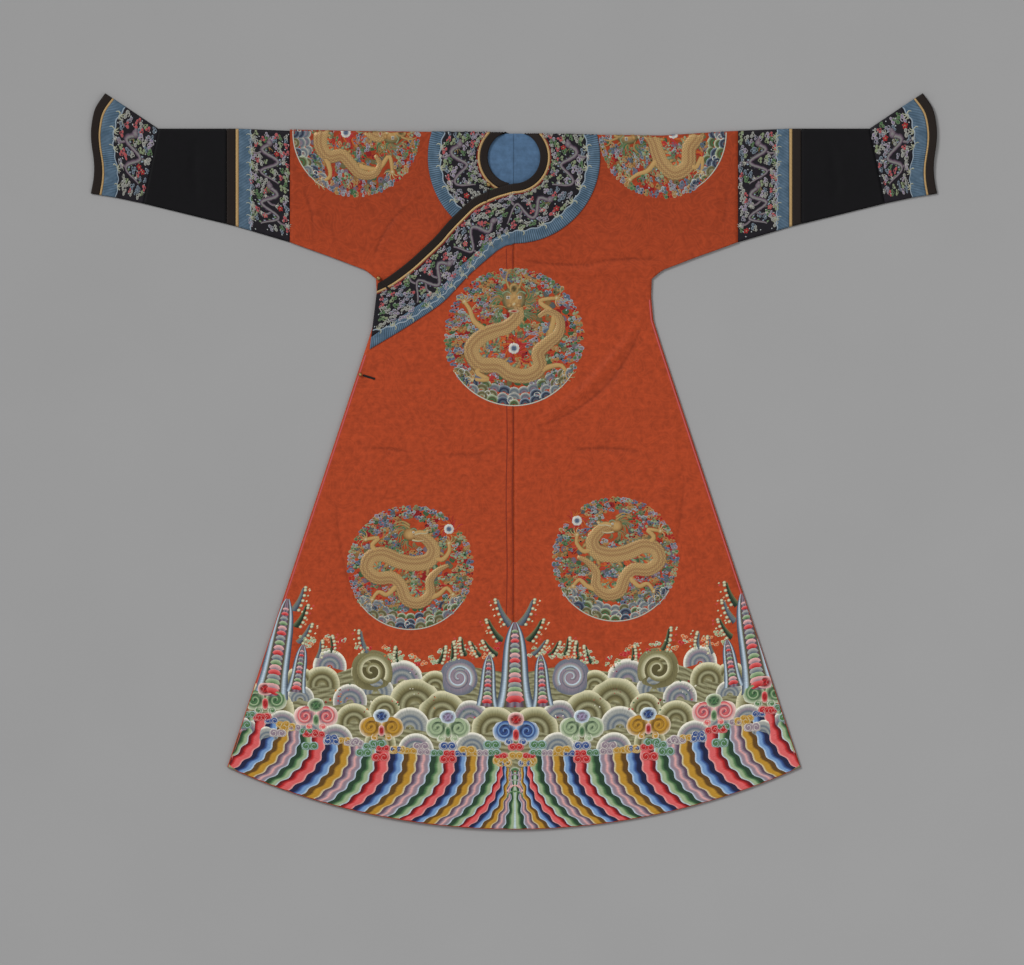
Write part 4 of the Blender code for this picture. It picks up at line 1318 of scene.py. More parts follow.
# Curled-head clouds: across, down, and dyes of the body, the top and the middle.
RUYI = (
    (-0.505, 1.153, "pine green sage white", "wine red pink", "wine red rose"),
    (-0.402, 1.186, "plum rose pink white", "pine green sage", "pine green sage"),
    (-0.269, 1.208, "brown ochre ochre cream", "navy blue ice", "wine red pink"),
    (-0.134, 1.210, "pine sage sage white", "plum lilac ice", "pine green sage"),
)  # fmt: skip
# Small curls under them: across, down, dye row.
CURLS = np.array([
    (-0.5095, 1.190, 0), (-0.412, 1.223, 0), (-0.272, 1.271, 0), (-0.134, 1.275, 0),
    (-0.3695, 1.238, 1), (-0.134, 1.2485, 1), (-0.329, 1.240, 2), (-0.189, 1.2485, 2),
    (-0.459, 1.210, 3), (-0.2355, 1.2565, 3), (-0.095, 1.2565, 3), (-0.414, 1.2485, 4),
    (-0.277, 1.244, 4), (-0.045, 1.246, 4), (-0.026, 1.278, 3), (-0.550, 1.205, 4),
    (-0.480, 1.222, 2), (-0.305, 1.262, 4),
])  # fmt: skip
CURL_DYES = (
    "wine red rose pink", "navy blue sky white", "plum mauve pink white",
    "brown ochre ochre cream", "pine green sage ice",
)  # fmt: skip
# Standing water: where every fifth boundary starts and where it meets the hem.
STRIPE_AT = np.array([-2, 0, 5, 10, 15, 20, 22, 25])
STRIPE_TOP_U = np.array([-0.566, -0.528, -0.410, -0.280, -0.142, -0.030, -0.016, MIRROR_U / 2])
STRIPE_TOP_V = np.array([1.180, 1.186, 1.222, 1.252, 1.264, 1.262, 1.290, 1.302])
STRIPE_HEM_U = np.array([-0.640, -0.593, -0.487, -0.355, -0.2355, -0.116, -0.072, MIRROR_U / 2])
STRIPE_DYES = (
    "wine red rose rose pink", "navy navy blue sky ice",
    "brown brown ochre ochre cream", "plum mauve pink mauve ice",
    "pine pine green sage ice",
)  # fmt: skip


# The sea's upper edge and the middle of the foam over it: across, down.
SEA_TOP = np.array([
    (-0.585, 1.140), (-0.50, 1.110), (-0.44, 1.110), (-0.37, 1.085), (-0.30, 1.080),
    (-0.24, 1.100), (-0.10, 1.085), (0.0, 1.100),
])  # fmt: skip
FOAM_LINE = np.array([
    (-0.44, 1.035), (-0.38, 1.04), (-0.30, 1.055), (-0.25, 1.060), (-0.20, 1.075),
    (-0.11, 1.060), (-0.03, 1.050),
])  # fmt: skip
FOAM_DYES = ("wine red rose", "pine sage white", "moss sage cream", "red orange cream")
# Clusters of small drops between the swells: across, down.
DROPS = np.array([
    (-0.36, 1.145), (-0.345, 1.13), (-0.35, 1.155), (-0.205, 1.10), (-0.24, 1.165),
    (-0.09, 1.185), (-0.165, 1.16), (-0.30, 1.17), (-0.20, 1.14), (-0.38, 1.165),
])  # fmt: skip
DROP_DYES = ("wine red", "white cream", "red rose", "green pine", "orange ochre")
# Plumes of foam: root across and down, heading, length.
PLUMES = (
    (-0.006, 1.004, -2.34, 0.058), (-0.022, 1.036, -2.45, 0.052), (-0.032, 1.064, -2.60, 0.040),
    (-0.450, 0.975, -0.85, 0.052), (-0.446, 1.008, -0.80, 0.050), (-0.440, 1.040, -0.70, 0.046),
    (-0.400, 1.072, -1.10, 0.036), (-0.372, 1.062, -1.30, 0.034), (-0.296, 1.062, -2.15, 0.048),
    (-0.235, 1.080, -1.90, 0.030), (-0.155, 1.082, -0.95, 0.036), (-0.128, 1.074, -1.25, 0.034),
    (-0.096, 1.066, -2.10, 0.036), (-0.066, 1.066, -2.45, 0.034),
)  # fmt: skip


def stripe_tops(k):
    """Where the boundaries numbered k start."""
    return np.stack([np.interp(k, STRIPE_AT, column) for column in (STRIPE_TOP_U, STRIPE_TOP_V)], -1)


def stripes(st):
    """Standing-water stripes: each runs down, bends outwards and ripples to the hem.

    A boundary is a quadratic curve from its top to the hem, moved sideways by a sine of its
    length, and neighbouring stripes share it.
    """
    k = np.arange(-2, 26)
    top = stripe_tops(k)
    foot_u = np.interp(k, STRIPE_AT, STRIPE_HEM_U)
    foot = np.stack([foot_u, hem(foot_u) - 0.0012], -1)
    bend = top + (foot - top) * np.array([-0.06, 0.58])
    t = np.linspace(0, 1, 34)[None, :, None]
    paths = (1 - t) ** 2 * top[:, None] + 2 * t * (1 - t) * bend[:, None] + t**2 * foot[:, None]
    length = np.linalg.norm(foot - top, axis=1)[:, None]
    along = t[..., 0]
    ripple = 0.0019 * np.sin(2 * np.pi * along * length / 0.027 + 0.35 * k[:, None])
    ripple *= np.clip(along * 5, 0, 1) * np.clip((1 - along) * 14, 0, 1) * (k[:, None] < 25)
    paths = paths + np.stack([ripple, 0.7 * ripple], -1)
    limit = side(paths[..., 1]) - 0.0015
    paths[..., 0] = np.maximum(paths[..., 0], -limit)
    across = np.linspace(0, 1, 7)[:, None]
    points = paths[:-1, :, None] * (1 - across) + paths[1:, :, None] * across
    dyes = silk_rows(STRIPE_DYES)[k[:-1] % 5][:, None, [0, 0, 1, 2, 3, 3, 4]]
    height = 0.0003 + 0.0006 * np.sin(np.pi * across[:, 0])
    height = np.broadcast_to(height, points.shape[:3]).copy()
    height[:, -1] = SUNK
    chart = np.zeros_like(points)
    chart[..., 0] = (along * length[:-1])[..., None]
    chart[..., 1] = across[:, 0] * 0.023
    st.add(points, height, dyes, chart)


def tents(st):
    """The middle of the hem, where both sides' stripes meet in a stack of small arches."""
    rows = ("pine green white", "plum mauve ice", "slate grey white", "plum pink white")
    for i, v in enumerate(np.arange(1.294, 1.350, 0.0115)):
        half = 0.011 + 0.12 * (v - 1.294)
        form = np.array([(-1, 0.014), (-0.7, 0.004), (0, 0), (0.7, 0.004), (1, 0.014)])
        arch = curve(*(form * (half, 1) + (0, v)), count=15)
        arch[:, 1] = np.minimum(arch[:, 1], LENGTH - 0.0022)
        arch[:, 0] += MIRROR_U / 2
        st.ribbons(arch, 0.011, silks(rows[i % 4])[::-1], 0.0007 + 0.00003 * i, 0.0003)


def swells(st):
    for u, v, r, row in SWELLS:
        fan(st, (u, v), r, -np.pi / 2, SWELL_DYES[int(row)])


def volute(st, centre, radius, dyes):
    """A thick rolled wave: a dark disc, and on it a spiral band with a pale outer edge."""
    rows = silks(dyes)
    st.pads([centre], radius, 0.0, rows[[0, 0, 1]], 10, 0.0010, 0.0001)
    path = spiral(centre, radius * 0.80, 1.9, 0.7, -1.0, 80, 0.10)
    st.ribbons(path, radius * np.linspace(0.46, 0.14, 80), rows[::-1], 0.0013, 0.0006)


def ruyi(st, centre, size, body, top, middle):
    """A cloud head: two inward scrolls, a lobe above with two curls, and a heart between."""
    body, top, middle = silks(body + " white"), silks(top + " white"), silks(middle + " white")

    def at(across, down):
        return (centre[0] + across * size, centre[1] + down * size)

    for hand in (-1, 1):
        scroll, foot = at(0.47 * hand, 0.04), at(0.30 * hand, 0.50)
        st.pads([scroll], (0.56 * size, 0.50 * size), 0.0, body[[0, 1, 0, 2, 4]], 8, 0.0014, 0.0003)
        path = spiral(scroll, 0.37 * size, 1.5, -2.2 if hand > 0 else -0.94, hand, 34, 0.12)
        st.ribbons(path, size * np.linspace(0.26, 0.12, 34), body[:4][::hand], 0.0018, 0.0005)
        st.pads([foot], (0.24 * size, 0.19 * size), 0.0, body[[1, 1, 4]], 4, 0.0013, 0.0003)
        path = spiral(foot, 0.17 * size, 1.2, -1.57, hand, 16, 0.2)
        st.ribbons(path, 0.08 * size, body[[1, 4, 1]], 0.0017, 0.0004)
    st.pads([at(0, -0.44)], (0.40 * size, 0.34 * size), 0.0, top[[0, 1, 0, 2, 3]], 8, 0.0019, 0.0005)
    for hand in (-1, 1):
        curl = spiral(at(0.17 * hand, -0.42), 0.15 * size, 1.2, 1.57 - 1.57 * hand, -hand, 14, 0.2)
        st.ribbons(curl, 0.07 * size, top[1:], 0.0024, 0.0003)
    st.pads([at(0, 0.20)], (0.17 * size, 0.30 * size), 0.0, middle[[1, 0, 1, 2, 3]], 6, 0.0022, 0.0004)


def small_curls(st, places, size):
    """Round curls in the stripes' colours, at the heads of the standing water."""
    for u, v, row in places:
        dyes = silks(CURL_DYES[int(row)])
        for hand in (-1, 1):
            centre = (u + 0.62 * size * hand, v)
            st.pads([centre], (0.95 * size, 0.8 * size), 0.0, dyes[[0, 1, 1, 3]], 5, 0.0014, 0.0004)
            path = spiral(centre, 0.66 * size, 1.3, -1.57, hand, 20, 0.2)
            st.ribbons(path, size * 0.3, dyes[[1, 3, 1]], 0.0018, 0.0004)


def mountain_taper(t):
    """A rock's width from foot to peak, flared at its foot and rounded in at its peak."""
    return 1.0 - 0.30 * t - 0.60 * t**7 + 0.40 * (1 - t) ** 6


def mountain(st, base, peak, half, step):
    """A rock: striped flanks in blues and white, and a stack of small arches up its middle."""
    base, peak = np.array(base), np.array(peak)
    rise = peak - base
    tall, heading = math.hypot(*rise), math.atan2(rise[1], rise[0])
    t = np.linspace(0, 1, 26)
    spine = base + rise * t[:, None]
    width = 2 * half * mountain_taper(t)
    flank = "navy slate ice moss plum mauve plum mauve plum moss ice slate navy"
    st.ribbons(spine, width, flank, 0.0013, 0.0004)
    rows = (
        "wine red rose white", "plum mauve pink white",
        "pine green sage white", "navy slate grey ice",
    )  # fmt: skip
    for i in range(int(tall * 0.93 / step)):
        share = (i + 0.4) * step / tall
        reach = half * mountain_taper(share) * 0.74
        lift = 0.0024 - 0.00002 * i
        fan(st, base + rise * share, reach, heading, rows[i % 4], 1.75, lift, 0.0004, 13)


def sprays(st, rng, plumes):
    """Foam thrown up: dark plumes that thin and bend, curled beads along them and drops beyond."""
    t = np.linspace(0, 1, 12)
    tones = ("cream cream", "red rose", "orange cream", "cream sage")
    for root_u, root_v, heading, length in plumes:
        hand = 1 if math.cos(heading) > 0 else -1
        local = np.stack([t, hand * -0.30 * t**2], -1)
        path = turned(local, np.array([heading]), np.array([length]), np.array([(root_u, root_v)]))[0]
        body = silks("black pine olive") if rng.random() < 0.7 else silks("black slate olive")
        st.ribbons(path, length * np.linspace(0.34, 0.10, 12), body[::-hand], 0.0010, 0.0006)
        run = np.gradient(path, axis=0)
        out = hand * np.stack([-run[:, 1], run[:, 0]], -1) / np.linalg.norm(run, axis=1, keepdims=True)
        spots = np.array([2, 4, 6, 8, 10, 11])
        rooted = path[spots] + out[spots] * (0.0045 + length * 0.10 * (1 - t[spots]))[:, None]
        st.pads(rooted, (0.0046, 0.0040), 0.0, "sage cream pine", 3, 0.0012, 0.0007)
        drops = path[spots] + out[spots] * 0.0145 + rng.uniform(-0.003, 0.003, (6, 2))
        speckle(st, rng, drops, (0.0028, 0.0025), tones, 2, 0.0010, 0.0006)


def far_side(points):
    """The right half's motifs stand a little higher towards the side."""
    rise = 0.014 * np.minimum(1.0, (points[..., 0] / 0.5) ** 2) * (1 - ease((points[..., 1] - 1.20) / 0.12))
    return np.stack([points[..., 0], points[..., 1] - rise], -1)


def hem_sea(st, rng, back):
    """The whole hem on one face of the robe: sea, stripes, rocks, rolled waves, clouds and foam."""
    for flip in (1.0, -1.0):
        centre = (0.0, 0.0) if flip > 0 else (MIRROR_U, 0.0)
        st.frame(centre, 1.0, 0.0, flip, back, far_side if flip < 0 else None)
        share = np.linspace(0, 1, 40)[:, None]
        top = np.interp(-0.585 * share, *SEA_TOP.T)
        deep = np.linspace(0, 1, 56)[None]
        v = top + (1.30 - top) * deep
        u = -share * (side(v) - 0.002) + MIRROR_U / 2 * (1 - share)
        phase = 0.5 + 0.5 * np.sin(560 * v + 2.2 * np.sin(95 * u))
        dyes = phase[..., None] * DYES["reed"] + (1 - phase[..., None]) * DYES["moss"]
        points = np.stack([u, v], -1)
        st.add(points[None], np.where(deep > 0, 0.0002, SUNK)[None], dyes[None], points[None])
        stripes(st)
        swells(st)
        volute(st, (-0.288, 1.096), 0.045, "moss olive olive reed cream cream")
        volute(st, (-0.112, 1.109), 0.040, "mauve slate mauve grey ice white")
        mountain(st, (-0.055, 1.170), (-0.050, 1.062), 0.019, 0.0088)
        mountain(st, (-0.443, 1.142), (-0.428, 1.042), 0.018, 0.0088)
        mountain(st, (-0.496, 1.155), (-0.459, 0.948), 0.031, 0.0104)
        for across, down, *dyes in RUYI:
            ruyi(st, (across, down), 0.046, *dyes)
        heads = np.arange(-1, 22) + 0.5
        rows = np.array([0, 1, 3, 2, 4])[np.floor(heads).astype(int) % 5]
        small_curls(st, np.column_stack([stripe_tops(heads), rows]), 0.0105)
        small_curls(st, CURLS, 0.0130)
        drops = np.repeat(DROPS, 4, 0) + rng.uniform(-0.012, 0.012, (40, 2))
        speckle(st, rng, drops, (0.0034, 0.0026), DROP_DYES, 2, 0.0016, 0.0006, 3)
        spots = np.linspace(-0.43, -0.035, 60)
        foam = np.stack([spots, np.interp(spots, *FOAM_LINE.T)], -1)
        foam += rng.uniform(-0.014, 0.014, (60, 2))
        small_clouds(st, rng, foam, 0.0085, FOAM_DYES, 0.0006)
        sprays(st, rng, PLUMES)
    st.frame((0.0, 0.0), back=back)
    mountain(st, (0.002, 1.172), (0.002, 0.996), 0.032, 0.0104)
    tents(st)
    ruyi(st, (0.004, 1.216), 0.048, "navy blue sky white", "wine red pink", "wine red rose")
    small_curls(st, [(0.004, 1.250, 0), (-0.020, 1.283, 3), (0.028, 1.283, 3), (0.004, 1.268, 3)], 0.0115)


# ---- the navy bands
BAND_CLOUDS = (
    "navy slate ice", "pine green sage", "plum mauve ice", "slate grey white",
    "wine rose mauve", "moss sage reed", "plum lilac white", "slate grey white",
)  # fmt: skip


def serpent(st, rng, start, length, height, hand):
    """A small lilac dragon walking along a band: waved body, head, legs and fins."""
    t = np.linspace(0, 1, 40)
    x = start[0] + length * t
    y = start[1] + hand * height * 1.15 * np.sin(t * 3.4 * np.pi) * (0.75 + 0.25 * t)
    path = np.stack([x, y], -1)
    width = 0.0120 * (1 - 0.70 * t**1.6) * (0.86 + 0.14 * np.sin(t * 90)) + 0.002
    for place, heading in ((7, 1.3), (13, -1.2), (24, 1.2), (31, -1.3)):
        foot = path[place] + 0.021 * np.array([math.cos(heading), math.sin(heading)])
        leg = curve(path[place], (path[place] + foot) / 2 + (0.004, 0), foot, count=8)
        st.ribbons(leg, 0.0056, "plum mauve grey", 0.0008, 0.0006)
        flames(st, rng, foot, heading, 5, 0.0095, 1.1, ("grey white grey",), 0.0026)
    st.ribbons(path, width, "black plum grey mauve plum black", 0.0007, 0.0010)
    spots = path[3:38:2]
    fins = silk_rows(("ice slate", "sage green"))[np.arange(len(spots)) % 2]
    st.pads(spots + np.array([0, -0.0064 * hand]), (0.0048, 0.0028), 1.2 * hand, fins, 2, 0.0005, 0.0007)
    head = path[0]
    flames(st, rng, head, 0.4, 4, 0.016, 0.6, MANE, 0.005)
    st.pads([head - np.array([0.003, 0])], (0.0085, 0.0070), 0.0, "grey mauve plum", 4, 0.0014, 0.0005)
    st.pads([head - np.array([0.0095, -0.001])], (0.0050, 0.0036), 0.0, "grey mauve plum", 3, 0.0014, 0.0004)
    eyes(st, [head - np.array([0.004, 0.002])], 0.0013, "black white")
    return path


def flowers(st, rng, points, size):
    """Five-petalled blossoms with a pale rim and a yellow eye."""
    count = len(points)
    pick = rng.integers(0, 3, count)
    tones = silk_rows(("wine red rose", "wine rose pink", "black red rose"))[pick]
    for i in range(5):
        angle = 2 * np.pi * i / 5 + 0.3
        offset = 0.62 * size * np.array([math.cos(angle), math.sin(angle)])
        st.pads(points + offset, (0.5 * size, 0.42 * size), angle, tones, 3, 0.0008, 0.0006)
    st.pads(points, (0.3 * size, 0.3 * size), 0.0, "ochre cream", 2, 0.0015, 0.0005)


def navy_field(st, rng, length, near, far, dragons, flower_count, step=0.0112):
    """Fills a band, from near to far across it, with small dragons, blossoms and clouds."""
    paths, gaps = [], []
    for start, run, hand in dragons:
        paths.append(serpent(st, rng, (start, (near + far) / 2), run, (far - near) * 0.22, hand))
        gaps.append(0.019)
    low, high = (0.012, near + 0.008), (length - 0.012, far - 0.008)
    spots = np.stack([rng.uniform(*ends, flower_count) for ends in zip(low, high)], -1)
    spots = spots[clear_of(spots, paths, gaps)]
    flowers(st, rng, spots, 0.0056)
    paths.append(spots if len(spots) else np.array([(9.0, 9.0)]))
    gaps.append(0.018)
    points = scatter(rng, (0.0105, near + 0.005), (length - 0.0105, far - 0.002), step)
    points = points[clear_of(points, paths, gaps)]
    small_clouds(st, rng, points, 0.0085, BAND_CLOUDS)
    beads = scatter(rng, (0.010, near + 0.003), (length - 0.010, far - 0.003), 0.015)
    beads = beads[clear_of(beads, paths[:-1], gaps)]
    st.pads(beads, (0.0018, 0.0018), 0.0, "white ice", 2, 0.0007, 0.0005)


def scroll_line(st, rng, length, at, crest=0.012):
    """The pale wavy line where navy meets blue, with foam crests that reach into the blue."""
    s = np.linspace(0.001, length - 0.001, int(length / 0.0022))
    path = np.stack([s, at + 0.0014 * np.sin(2 * np.pi * s / 0.021)], -1)
    st.ribbons(path, 0.0036, "slate ice slate", 0.0007, 0.0005)
    spots = np.arange(0.012, length - 0.010, 0.030)
    spots += rng.uniform(-0.004, 0.004, len(spots))
    roots = np.stack([spots, np.full(len(spots), at)], -1)
    hook = np.stack([np.linspace(0, 1, 9), 0.3 * np.sin(np.linspace(0, 2.8, 9))], -1)
    for heading, size in ((-1.1, 0.9), (-0.6, 0.7), (-1.7, 0.8), (-2.3, 0.7), (1.4, 0.8)):
        paths = turned(hook, np.full(len(spots), heading), np.full(len(spots), crest * size), roots)
        st.ribbons(paths, np.linspace(0.0030, 0.0016, 9)[None], "sage cream ice", 0.0009, 0.0004)


def collar_place(label):
    """Maps (run along the collar, distance from its neck edge) to the cut; also its length and width."""
    inner, outer = collar_edges(label)
    run = collar_run(inner, outer)
    way = (outer - inner) / np.hypot(*(outer - inner).T)[:, None]

    def place(points):
        s = points[..., 0]
        at = np.stack([np.interp(s, run, values) for values in (*inner.T, *way.T)], -1)
        return at[..., :2] + at[..., 2:] * points[..., 1:]

    return place, run[-1], float(np.hypot(*(outer - inner).T)[len(inner) // 3])


def collar_stitching(label):
    place, length, width = collar_place(label)
    rng = np.random.default_rng(31 if label == "over" else 32)
    st = Stitching()
    st.frame((0.0, 0.0), place=place)
    near, far = NECK_BINDING + NECK_BRAID, width - WAVE_BORDER
    starts = np.arange(0.03, length - 0.10, 0.125)
    dragons = [(s, 0.095, 1 if i % 2 else -1) for i, s in enumerate(starts)]
    navy_field(st, rng, length, near + 0.002, far, dragons, int(length * 11))
    scroll_line(st, rng, length, far)
    edge = np.stack([np.linspace(0.001, length - 0.001, 300), np.full(300, near + 0.0012)], -1)
    st.ribbons(edge, 0.0022, "wine red wine", 0.0005, 0.0004)
    return st


# Lengths of the front of a sleeve's and of a cuff's navy band, and the width between their braids.
SLEEVE_RUN = 0.222
CUFF_RUN = 0.155
BAND_WIDTH = 0.079


def cuff_place(points):
    """Maps metres across and down a cuff's band to the cut of the left sleeve."""
    s = np.clip(1 - points[..., 1] / CUFF_RUN, 0.0, 1.0)
    first, last = seam_line(s.ravel()), cuff_line(EDGES[3], s.ravel())
    share = points[..., 0].reshape(-1, 1) / BAND_WIDTH
    return (first + share * (last - first)).reshape(points.shape)


def sleeve_stitching(sign, back):
    rng = np.random.default_rng(41 + int(sign > 0) + 2 * back)
    st = Stitching()

    def upper(points):
        """Metres down the sleeve and out from its seam, to the cut."""
        u = SLEEVE_SEAM + points[..., 1]
        low, high = lower(u), np.interp(u, SHOULDER_DIP[:, 0], SHOULDER_DIP[:, 2])
        v = high + points[..., 0] / SLEEVE_RUN * (low - high)
        return np.stack([sign * u, v], -1)

    def outer(points):
        placed = cuff_place(np.stack([points[..., 1], points[..., 0]], -1))
        return np.stack([sign * placed[..., 0], placed[..., 1]], -1)

    st.frame((0.0, 0.0), back=back, place=upper)
    navy_field(st, rng, SLEEVE_RUN, 0.003, BAND_WIDTH, [(0.03, 0.08, 1), (0.12, 0.08, -1)], 5)
    scroll_line(st, rng, SLEEVE_RUN, BAND_WIDTH)
    st.frame((0.0, 0.0), back=back, place=outer)
    navy_field(st, rng, CUFF_RUN, 0.003, 0.076, [(0.035, 0.085, 1)], 4)
    scroll_line(st, rng, CUFF_RUN, BAND_WIDTH)
    return st


# ---- seams, edges and closures
def seam_stitching():
    """Stitched lines: two down the centre front, a red piping down each side, one round the hem."""
    st = Stitching()
    rows = np.linspace(0.236, 0.985, 160)
    for u in (-0.0026, -0.0150):
        line = np.stack([u + 0.0010 * np.sin(rows * 23), rows], -1)
        st.ribbons(line, 0.0042, "rust rust rust", 0.0001, 0.0003)
    for sign in (-1, 1):
        down = np.linspace(0.452 if sign < 0 else 0.34, 1.280, 150)
        edge = np.stack([sign * (side(down) - 0.0042), down], -1)
        st.ribbons(edge, 0.0046, "wine rose wine", 0.0002, 0.0006)
    return st


def find_node(name):
    node = bpy.data.objects.get(name)
    if node is None:
        raise RuntimeError(f"the packed model has no node called {name}")
    return node


# ---- settings
def dye_property(name, description, default):
    return bpy.props.FloatVectorProperty(
        name=name, description=description, default=default, size=3, min=0.0, max=1.0, subtype="COLOR"
    )


def size_property(name, description, default, low, high, unit="LENGTH"):
    return bpy.props.FloatProperty(
        name=name, description=description, default=default, min=low, max=high, unit=unit
    )


class RobeColours(bpy.types.PropertyGroup):
    """Dyes of the plain cloths and trims."""

    silk: dye_property("Ground silk", "Colour of the robe's ground", linear(158, 61, 29))
    lining: dye_property("Lining", "Colour of the lining inside the neck", linear(73, 100, 129))
    navy: dye_property("Navy bands", "Ground of the collar and sleeve bands", linear(24, 21, 27))
    water: dye_property("Wave borders", "Colour of the blue borders", linear(70, 93, 112))
    sleeve: dye_property("Sleeve extensions", "Colour of the plain dark sleeves", linear(6, 5, 8))
    braid: dye_property("Braid", "Colour of the narrow gold braid", linear(184, 152, 104))
    binding: dye_property("Binding", "Colour of the bound edges", linear(34, 26, 22))
    floor: dye_property("Floor", "Colour of the ground it lies on", (0.304, 0.303, 0.304))


class RobeSizes(bpy.types.PropertyGroup):
    """Sizes a user would change."""

    roundel: size_property("Lower roundel radius", "Radius of a roundel on the skirt", 0.130, 0.10, 0.145)
    chest: size_property("Chest roundel radius", "Radius on chest and back", 0.144, 0.12, 0.146)
    figure: size_property("Damask", "How strongly the woven figure shows", 0.16, 0.0, 1.0, "NONE")
    view: size_property("View width", "Width of the ground seen by the camera", 2.079, 1.8, 4.0)


class RobeSettings(bpy.types.PropertyGroup):
    """Everything the panel lists."""

    colours: bpy.props.PointerProperty(type=RobeColours)
    sizes: bpy.props.PointerProperty(type=RobeSizes)


def settings():
    return bpy.context.scene.robe_builder


def embroidery(st, name, over=False, base=0.0, trim=False, scales=False, depth=1.0):
    """Builds a stitched piece, gives it its material and lets it ride on the robe."""
    piece = st.build(name, over, base, trim, depth)
    label, make = ("Gold scales", scales_material) if scales else ("Embroidery", stitched_material)
    dress(piece, bpy.data.materials.get(label) or make())
    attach(piece, "root")
    return piece


# ---- operators
class ROBE_OT_body(bpy.types.Operator):
    """Lay the ground silk: both body halves over the shoulders, and the extra front"""

    bl_idname = "robe.body"
    bl_label = "Body"

    def execute(self, context):
        colours = settings().colours
        silk = cloth_material("Ground silk", tuple(colours.silk), settings().sizes.figure, shoulder_dark_and_crease_shade=0.50)
        for name, sign, front_edge in (("left_body", 1, SEAM / 2), ("right_body", -1, 0.010)):
            dress(body_half(name, sign, front_edge), silk)
        dress(overlap_piece(), silk)
        return {"FINISHED"}


class ROBE_OT_lining(bpy.types.Operator):
    """Lay the lining that shows inside the neck"""

    bl_idname = "robe.lining"
    bl_label = "Lining"

    def execute(self, context):
        cloth = cloth_material("Lining silk", tuple(settings().colours.lining), rough=0.7)
        for name, sign in (("left", 1), ("right", -1)):
            dress(lining_piece(name, sign), cloth)
        return {"FINISHED"}


def trim_materials():
    """The material of each trim's slot, made once."""
    colours = settings().colours
    if bpy.data.materials.get("Navy silk") is None:
        cloth_material("Navy silk", tuple(colours.navy))
        cloth_material("Sleeve silk", tuple(colours.sleeve), sheen=0.03)
        comb_material(tuple(colours.water))
        thread_material("Gold braid", tuple(colours.braid), 0.3, 0.45)
        thread_material("Edge binding", tuple(colours.binding), 0.0, 0.6)
    made = {"navy": "Navy silk", "black": "Sleeve silk", "wave_blue": "Wave border silk"}
    made |= {"braid": "Gold braid", "binding": "Edge binding"}
    return {slot_name: bpy.data.materials[label] for slot_name, label in made.items()}


class ROBE_OT_collar(bpy.types.Operator):
    """Lay the two collar strips: binding, braid, navy band and wave border"""

    bl_idname = "robe.collar"
    bl_label = "Collar"

    def execute(self, context):
        cloths = trim_materials()
        for label in ("under", "over"):
            for piece, layout in zip(collar_pieces(label), COLLAR_LAYOUT):
                dress(piece, cloths[layout[4]])
        return {"FINISHED"}


class ROBE_OT_sleeves(bpy.types.Operator):
    """Lay both sleeves' bands, extensions and horseshoe cuffs"""

    bl_idname = "robe.sleeves"
    bl_label = "Sleeves and cuffs"

    def execute(self, context):
        cloths = trim_materials()
        for label, sign in (("left", 1), ("right", -1)):
            for number, ring in enumerate(RINGS):
                dress(ring_piece(label, sign, number), cloths[ring[-1]])
        return {"FINISHED"}


class ROBE_OT_roundels(bpy.types.Operator):
    """Stitch the eight dragon roundels: chest, back, shoulders and skirt"""

    bl_idname = "robe.roundels"
    bl_label = "Dragon roundels"

    def execute(self, context):
        chest, low = settings().sizes.chest, settings().sizes.roundel
        groups = {
            "chest": [(FRONT_DRAGON, (0.0, 0.418), chest, 0.0, 1.0, False)],
            "back": [(FRONT_DRAGON, (0.0, 0.418), chest, 0.0, -1.0, True)],
            "skirt": [
                (SIDE_DRAGON, (-0.210, 0.886), low, 0.0, 1.0, False),
                (SIDE_DRAGON, (0.206, 0.869), low, 0.0, -1.0, False),
            ],
            "skirt_back": [
                (SIDE_DRAGON, (-0.208, 0.878), low, 0.0, 1.0, True),
                (SIDE_DRAGON, (0.208, 0.878), low, 0.0, -1.0, True),
            ],
            "shoulder": [
                (FRONT_DRAGON, (0.302, 0.005), 0.133, -math.pi / 2, 1.0, False),
                (FRONT_DRAGON, (-0.320, 0.003), 0.133, math.pi / 2, 1.0, False),
            ],
        }
        seed = 11
        for name, designs in groups.items():
            scales, fine = Stitching(), Stitching()
            for design in designs:
                roundel(scales, fine, seed, *design)
                seed += 1
            over = name in ("chest", "skirt")
            embroidery(scales, f"{name}_dragon_bodies", over, scales=True, depth=0.80)
            embroidery(fine, f"{name}_clouds_and_waves", over, depth=0.78)
        return {"FINISHED"}


class ROBE_OT_hem(bpy.types.Operator):
    """Stitch the sea, rocks, rolled waves and standing water along the hem, front and back"""

    bl_idname = "robe.hem"
    bl_label = "Hem"

    def execute(self, context):
        for back, name in ((False, "hem_sea_front"), (True, "hem_sea_back")):
            st = Stitching()
            hem_sea(st, np.random.default_rng(21 + back), back)
            embroidery(st, name, over=not back, trim=True)
        return {"FINISHED"}


class ROBE_OT_bands(bpy.types.Operator):
    """Stitch small dragons, blossoms and clouds on the collar and the sleeve bands"""

    bl_idname = "robe.bands"
    bl_label = "Band embroidery"

    def execute(self, context):
        for label in ("over", "under"):
            name = f"collar_{label}_stitching"
            embroidery(collar_stitching(label), name, label == "over", PLAY + TRIM, depth=0.64)
        for sign, label in ((1, "left"), (-1, "right")):
            for back, face in ((False, "front"), (True, "back")):
                embroidery(sleeve_stitching(sign, back), f"{label}_sleeve_stitching_{face}", depth=0.64)
        return {"FINISHED"}


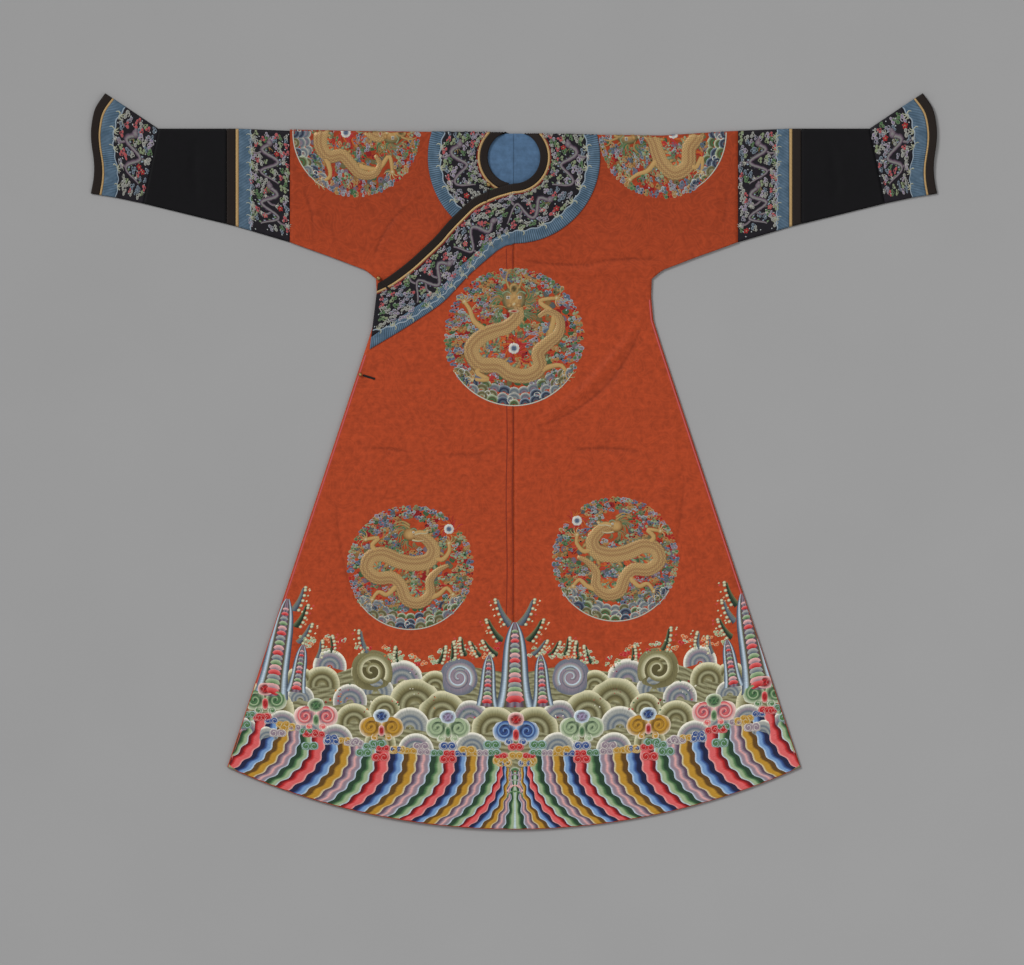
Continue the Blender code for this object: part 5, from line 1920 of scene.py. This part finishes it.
class ROBE_OT_seams(bpy.types.Operator):
    """Stitch the centre-front lines and the red side pipings, and finish buttons and loops"""

    bl_idname = "robe.seams"
    bl_label = "Seams and closures"

    def execute(self, context):
        embroidery(seam_stitching(), "seam_lines", over=True, trim=True)
        brass = brass_material()
        cord = thread_material("Loop cord", linear(44, 34, 32), 0.0, 0.65)
        for name in ("neck", "underarm", "side"):
            dress(find_node(f"{name}_button"), brass)
            dress(find_node(f"{name}_loop"), cord)
        return {"FINISHED"}


class ROBE_OT_stage(bpy.types.Operator):
    """Set the ground, soft lights and the camera that looks straight down"""

    bl_idname = "robe.stage"
    bl_label = "Stage"

    def execute(self, context):
        scene = context.scene
        quads = np.array([(0, 1, 2, 3)])
        corners = np.array([(-6, -6, 0), (6, -6, 0), (6, 6, 0), (-6, 6, 0)], float)
        ground = new_mesh("ground", corners, quads, corners[:, :2])
        material, graph, shader = new_material("Ground")
        place = graph.put("ShaderNodeTexCoord").outputs["Object"]
        grain = graph.put("ShaderNodeTexNoise", Vector=place, Scale=3.0, Detail=3.0)
        tone = tuple(settings().colours.floor)
        low, high = (tuple(c * k for c in tone) for k in (0.985, 1.015))
        colour = graph.ramp(grain.outputs[0], (0.3, low), (0.7, high))
        graph.tree.links.new(colour, shader.inputs["Base Color"])
        shader.inputs["Roughness"].default_value = 0.95
        dress(ground, material)
        world = bpy.data.worlds.new("Soft studio")
        scene.world = world
        world.use_nodes = True
        world.node_tree.nodes["Background"].inputs["Color"].default_value = (1.0, 1.0, 1.0, 1.0)
        world.node_tree.nodes["Background"].inputs["Strength"].default_value = 0.51
        sun = bpy.data.lights.new("key", "SUN")
        sun.energy, sun.angle = 2.00, 0.35
        lamp = bpy.data.lights.new("fill", "AREA")
        lamp.energy, lamp.size = 52.0, 4.0
        for name, spot, lamp in (("key", (-6.5, 6.0, 8.0), sun), ("fill", (3.0, -2.4, 5.5), lamp)):
            light = bpy.data.objects.new(name, lamp)
            scene.collection.objects.link(light)
            light.location = spot
            light.rotation_euler = (-mathutils.Vector(spot)).to_track_quat("-Z", "Y").to_euler()
        camera = bpy.data.cameras.new("above")
        camera.type = "ORTHO"
        camera.ortho_scale = settings().sizes.view
        eye = bpy.data.objects.new("above", camera)
        scene.collection.objects.link(eye)
        eye.location = (-0.004, -0.0425, 4.0)
        scene.camera = eye
        scene.view_settings.view_transform = "Standard"
        return {"FINISHED"}


OPERATORS = (
    ROBE_OT_body, ROBE_OT_lining, ROBE_OT_collar, ROBE_OT_sleeves, ROBE_OT_roundels,
    ROBE_OT_hem, ROBE_OT_bands, ROBE_OT_seams, ROBE_OT_stage,
)  # fmt: skip


class ROBE_PT_panel(bpy.types.Panel):
    """Lists the settings and the pieces"""

    bl_idname = "ROBE_PT_panel"
    bl_label = "Robe"
    bl_space_type = "VIEW_3D"
    bl_region_type = "UI"
    bl_category = "Robe"

    def draw(self, context):
        for group in (context.scene.robe_builder.colours, context.scene.robe_builder.sizes):
            for key in group.__annotations__:
                self.layout.prop(group, key)
        for operator in OPERATORS:
            self.layout.operator(operator.bl_idname)


CLASSES = (RobeColours, RobeSizes, RobeSettings, *OPERATORS, ROBE_PT_panel)


def register():
    for item in CLASSES:
        bpy.utils.register_class(item)
    bpy.types.Scene.robe_builder = bpy.props.PointerProperty(type=RobeSettings)


def unregister():
    del bpy.types.Scene.robe_builder
    for item in reversed(CLASSES):
        bpy.utils.unregister_class(item)


def main():
    register()
    for operator in OPERATORS:
        group, name = operator.bl_idname.split(".")
        getattr(getattr(bpy.ops, group), name)()


if __name__ == "__main__":
    main()
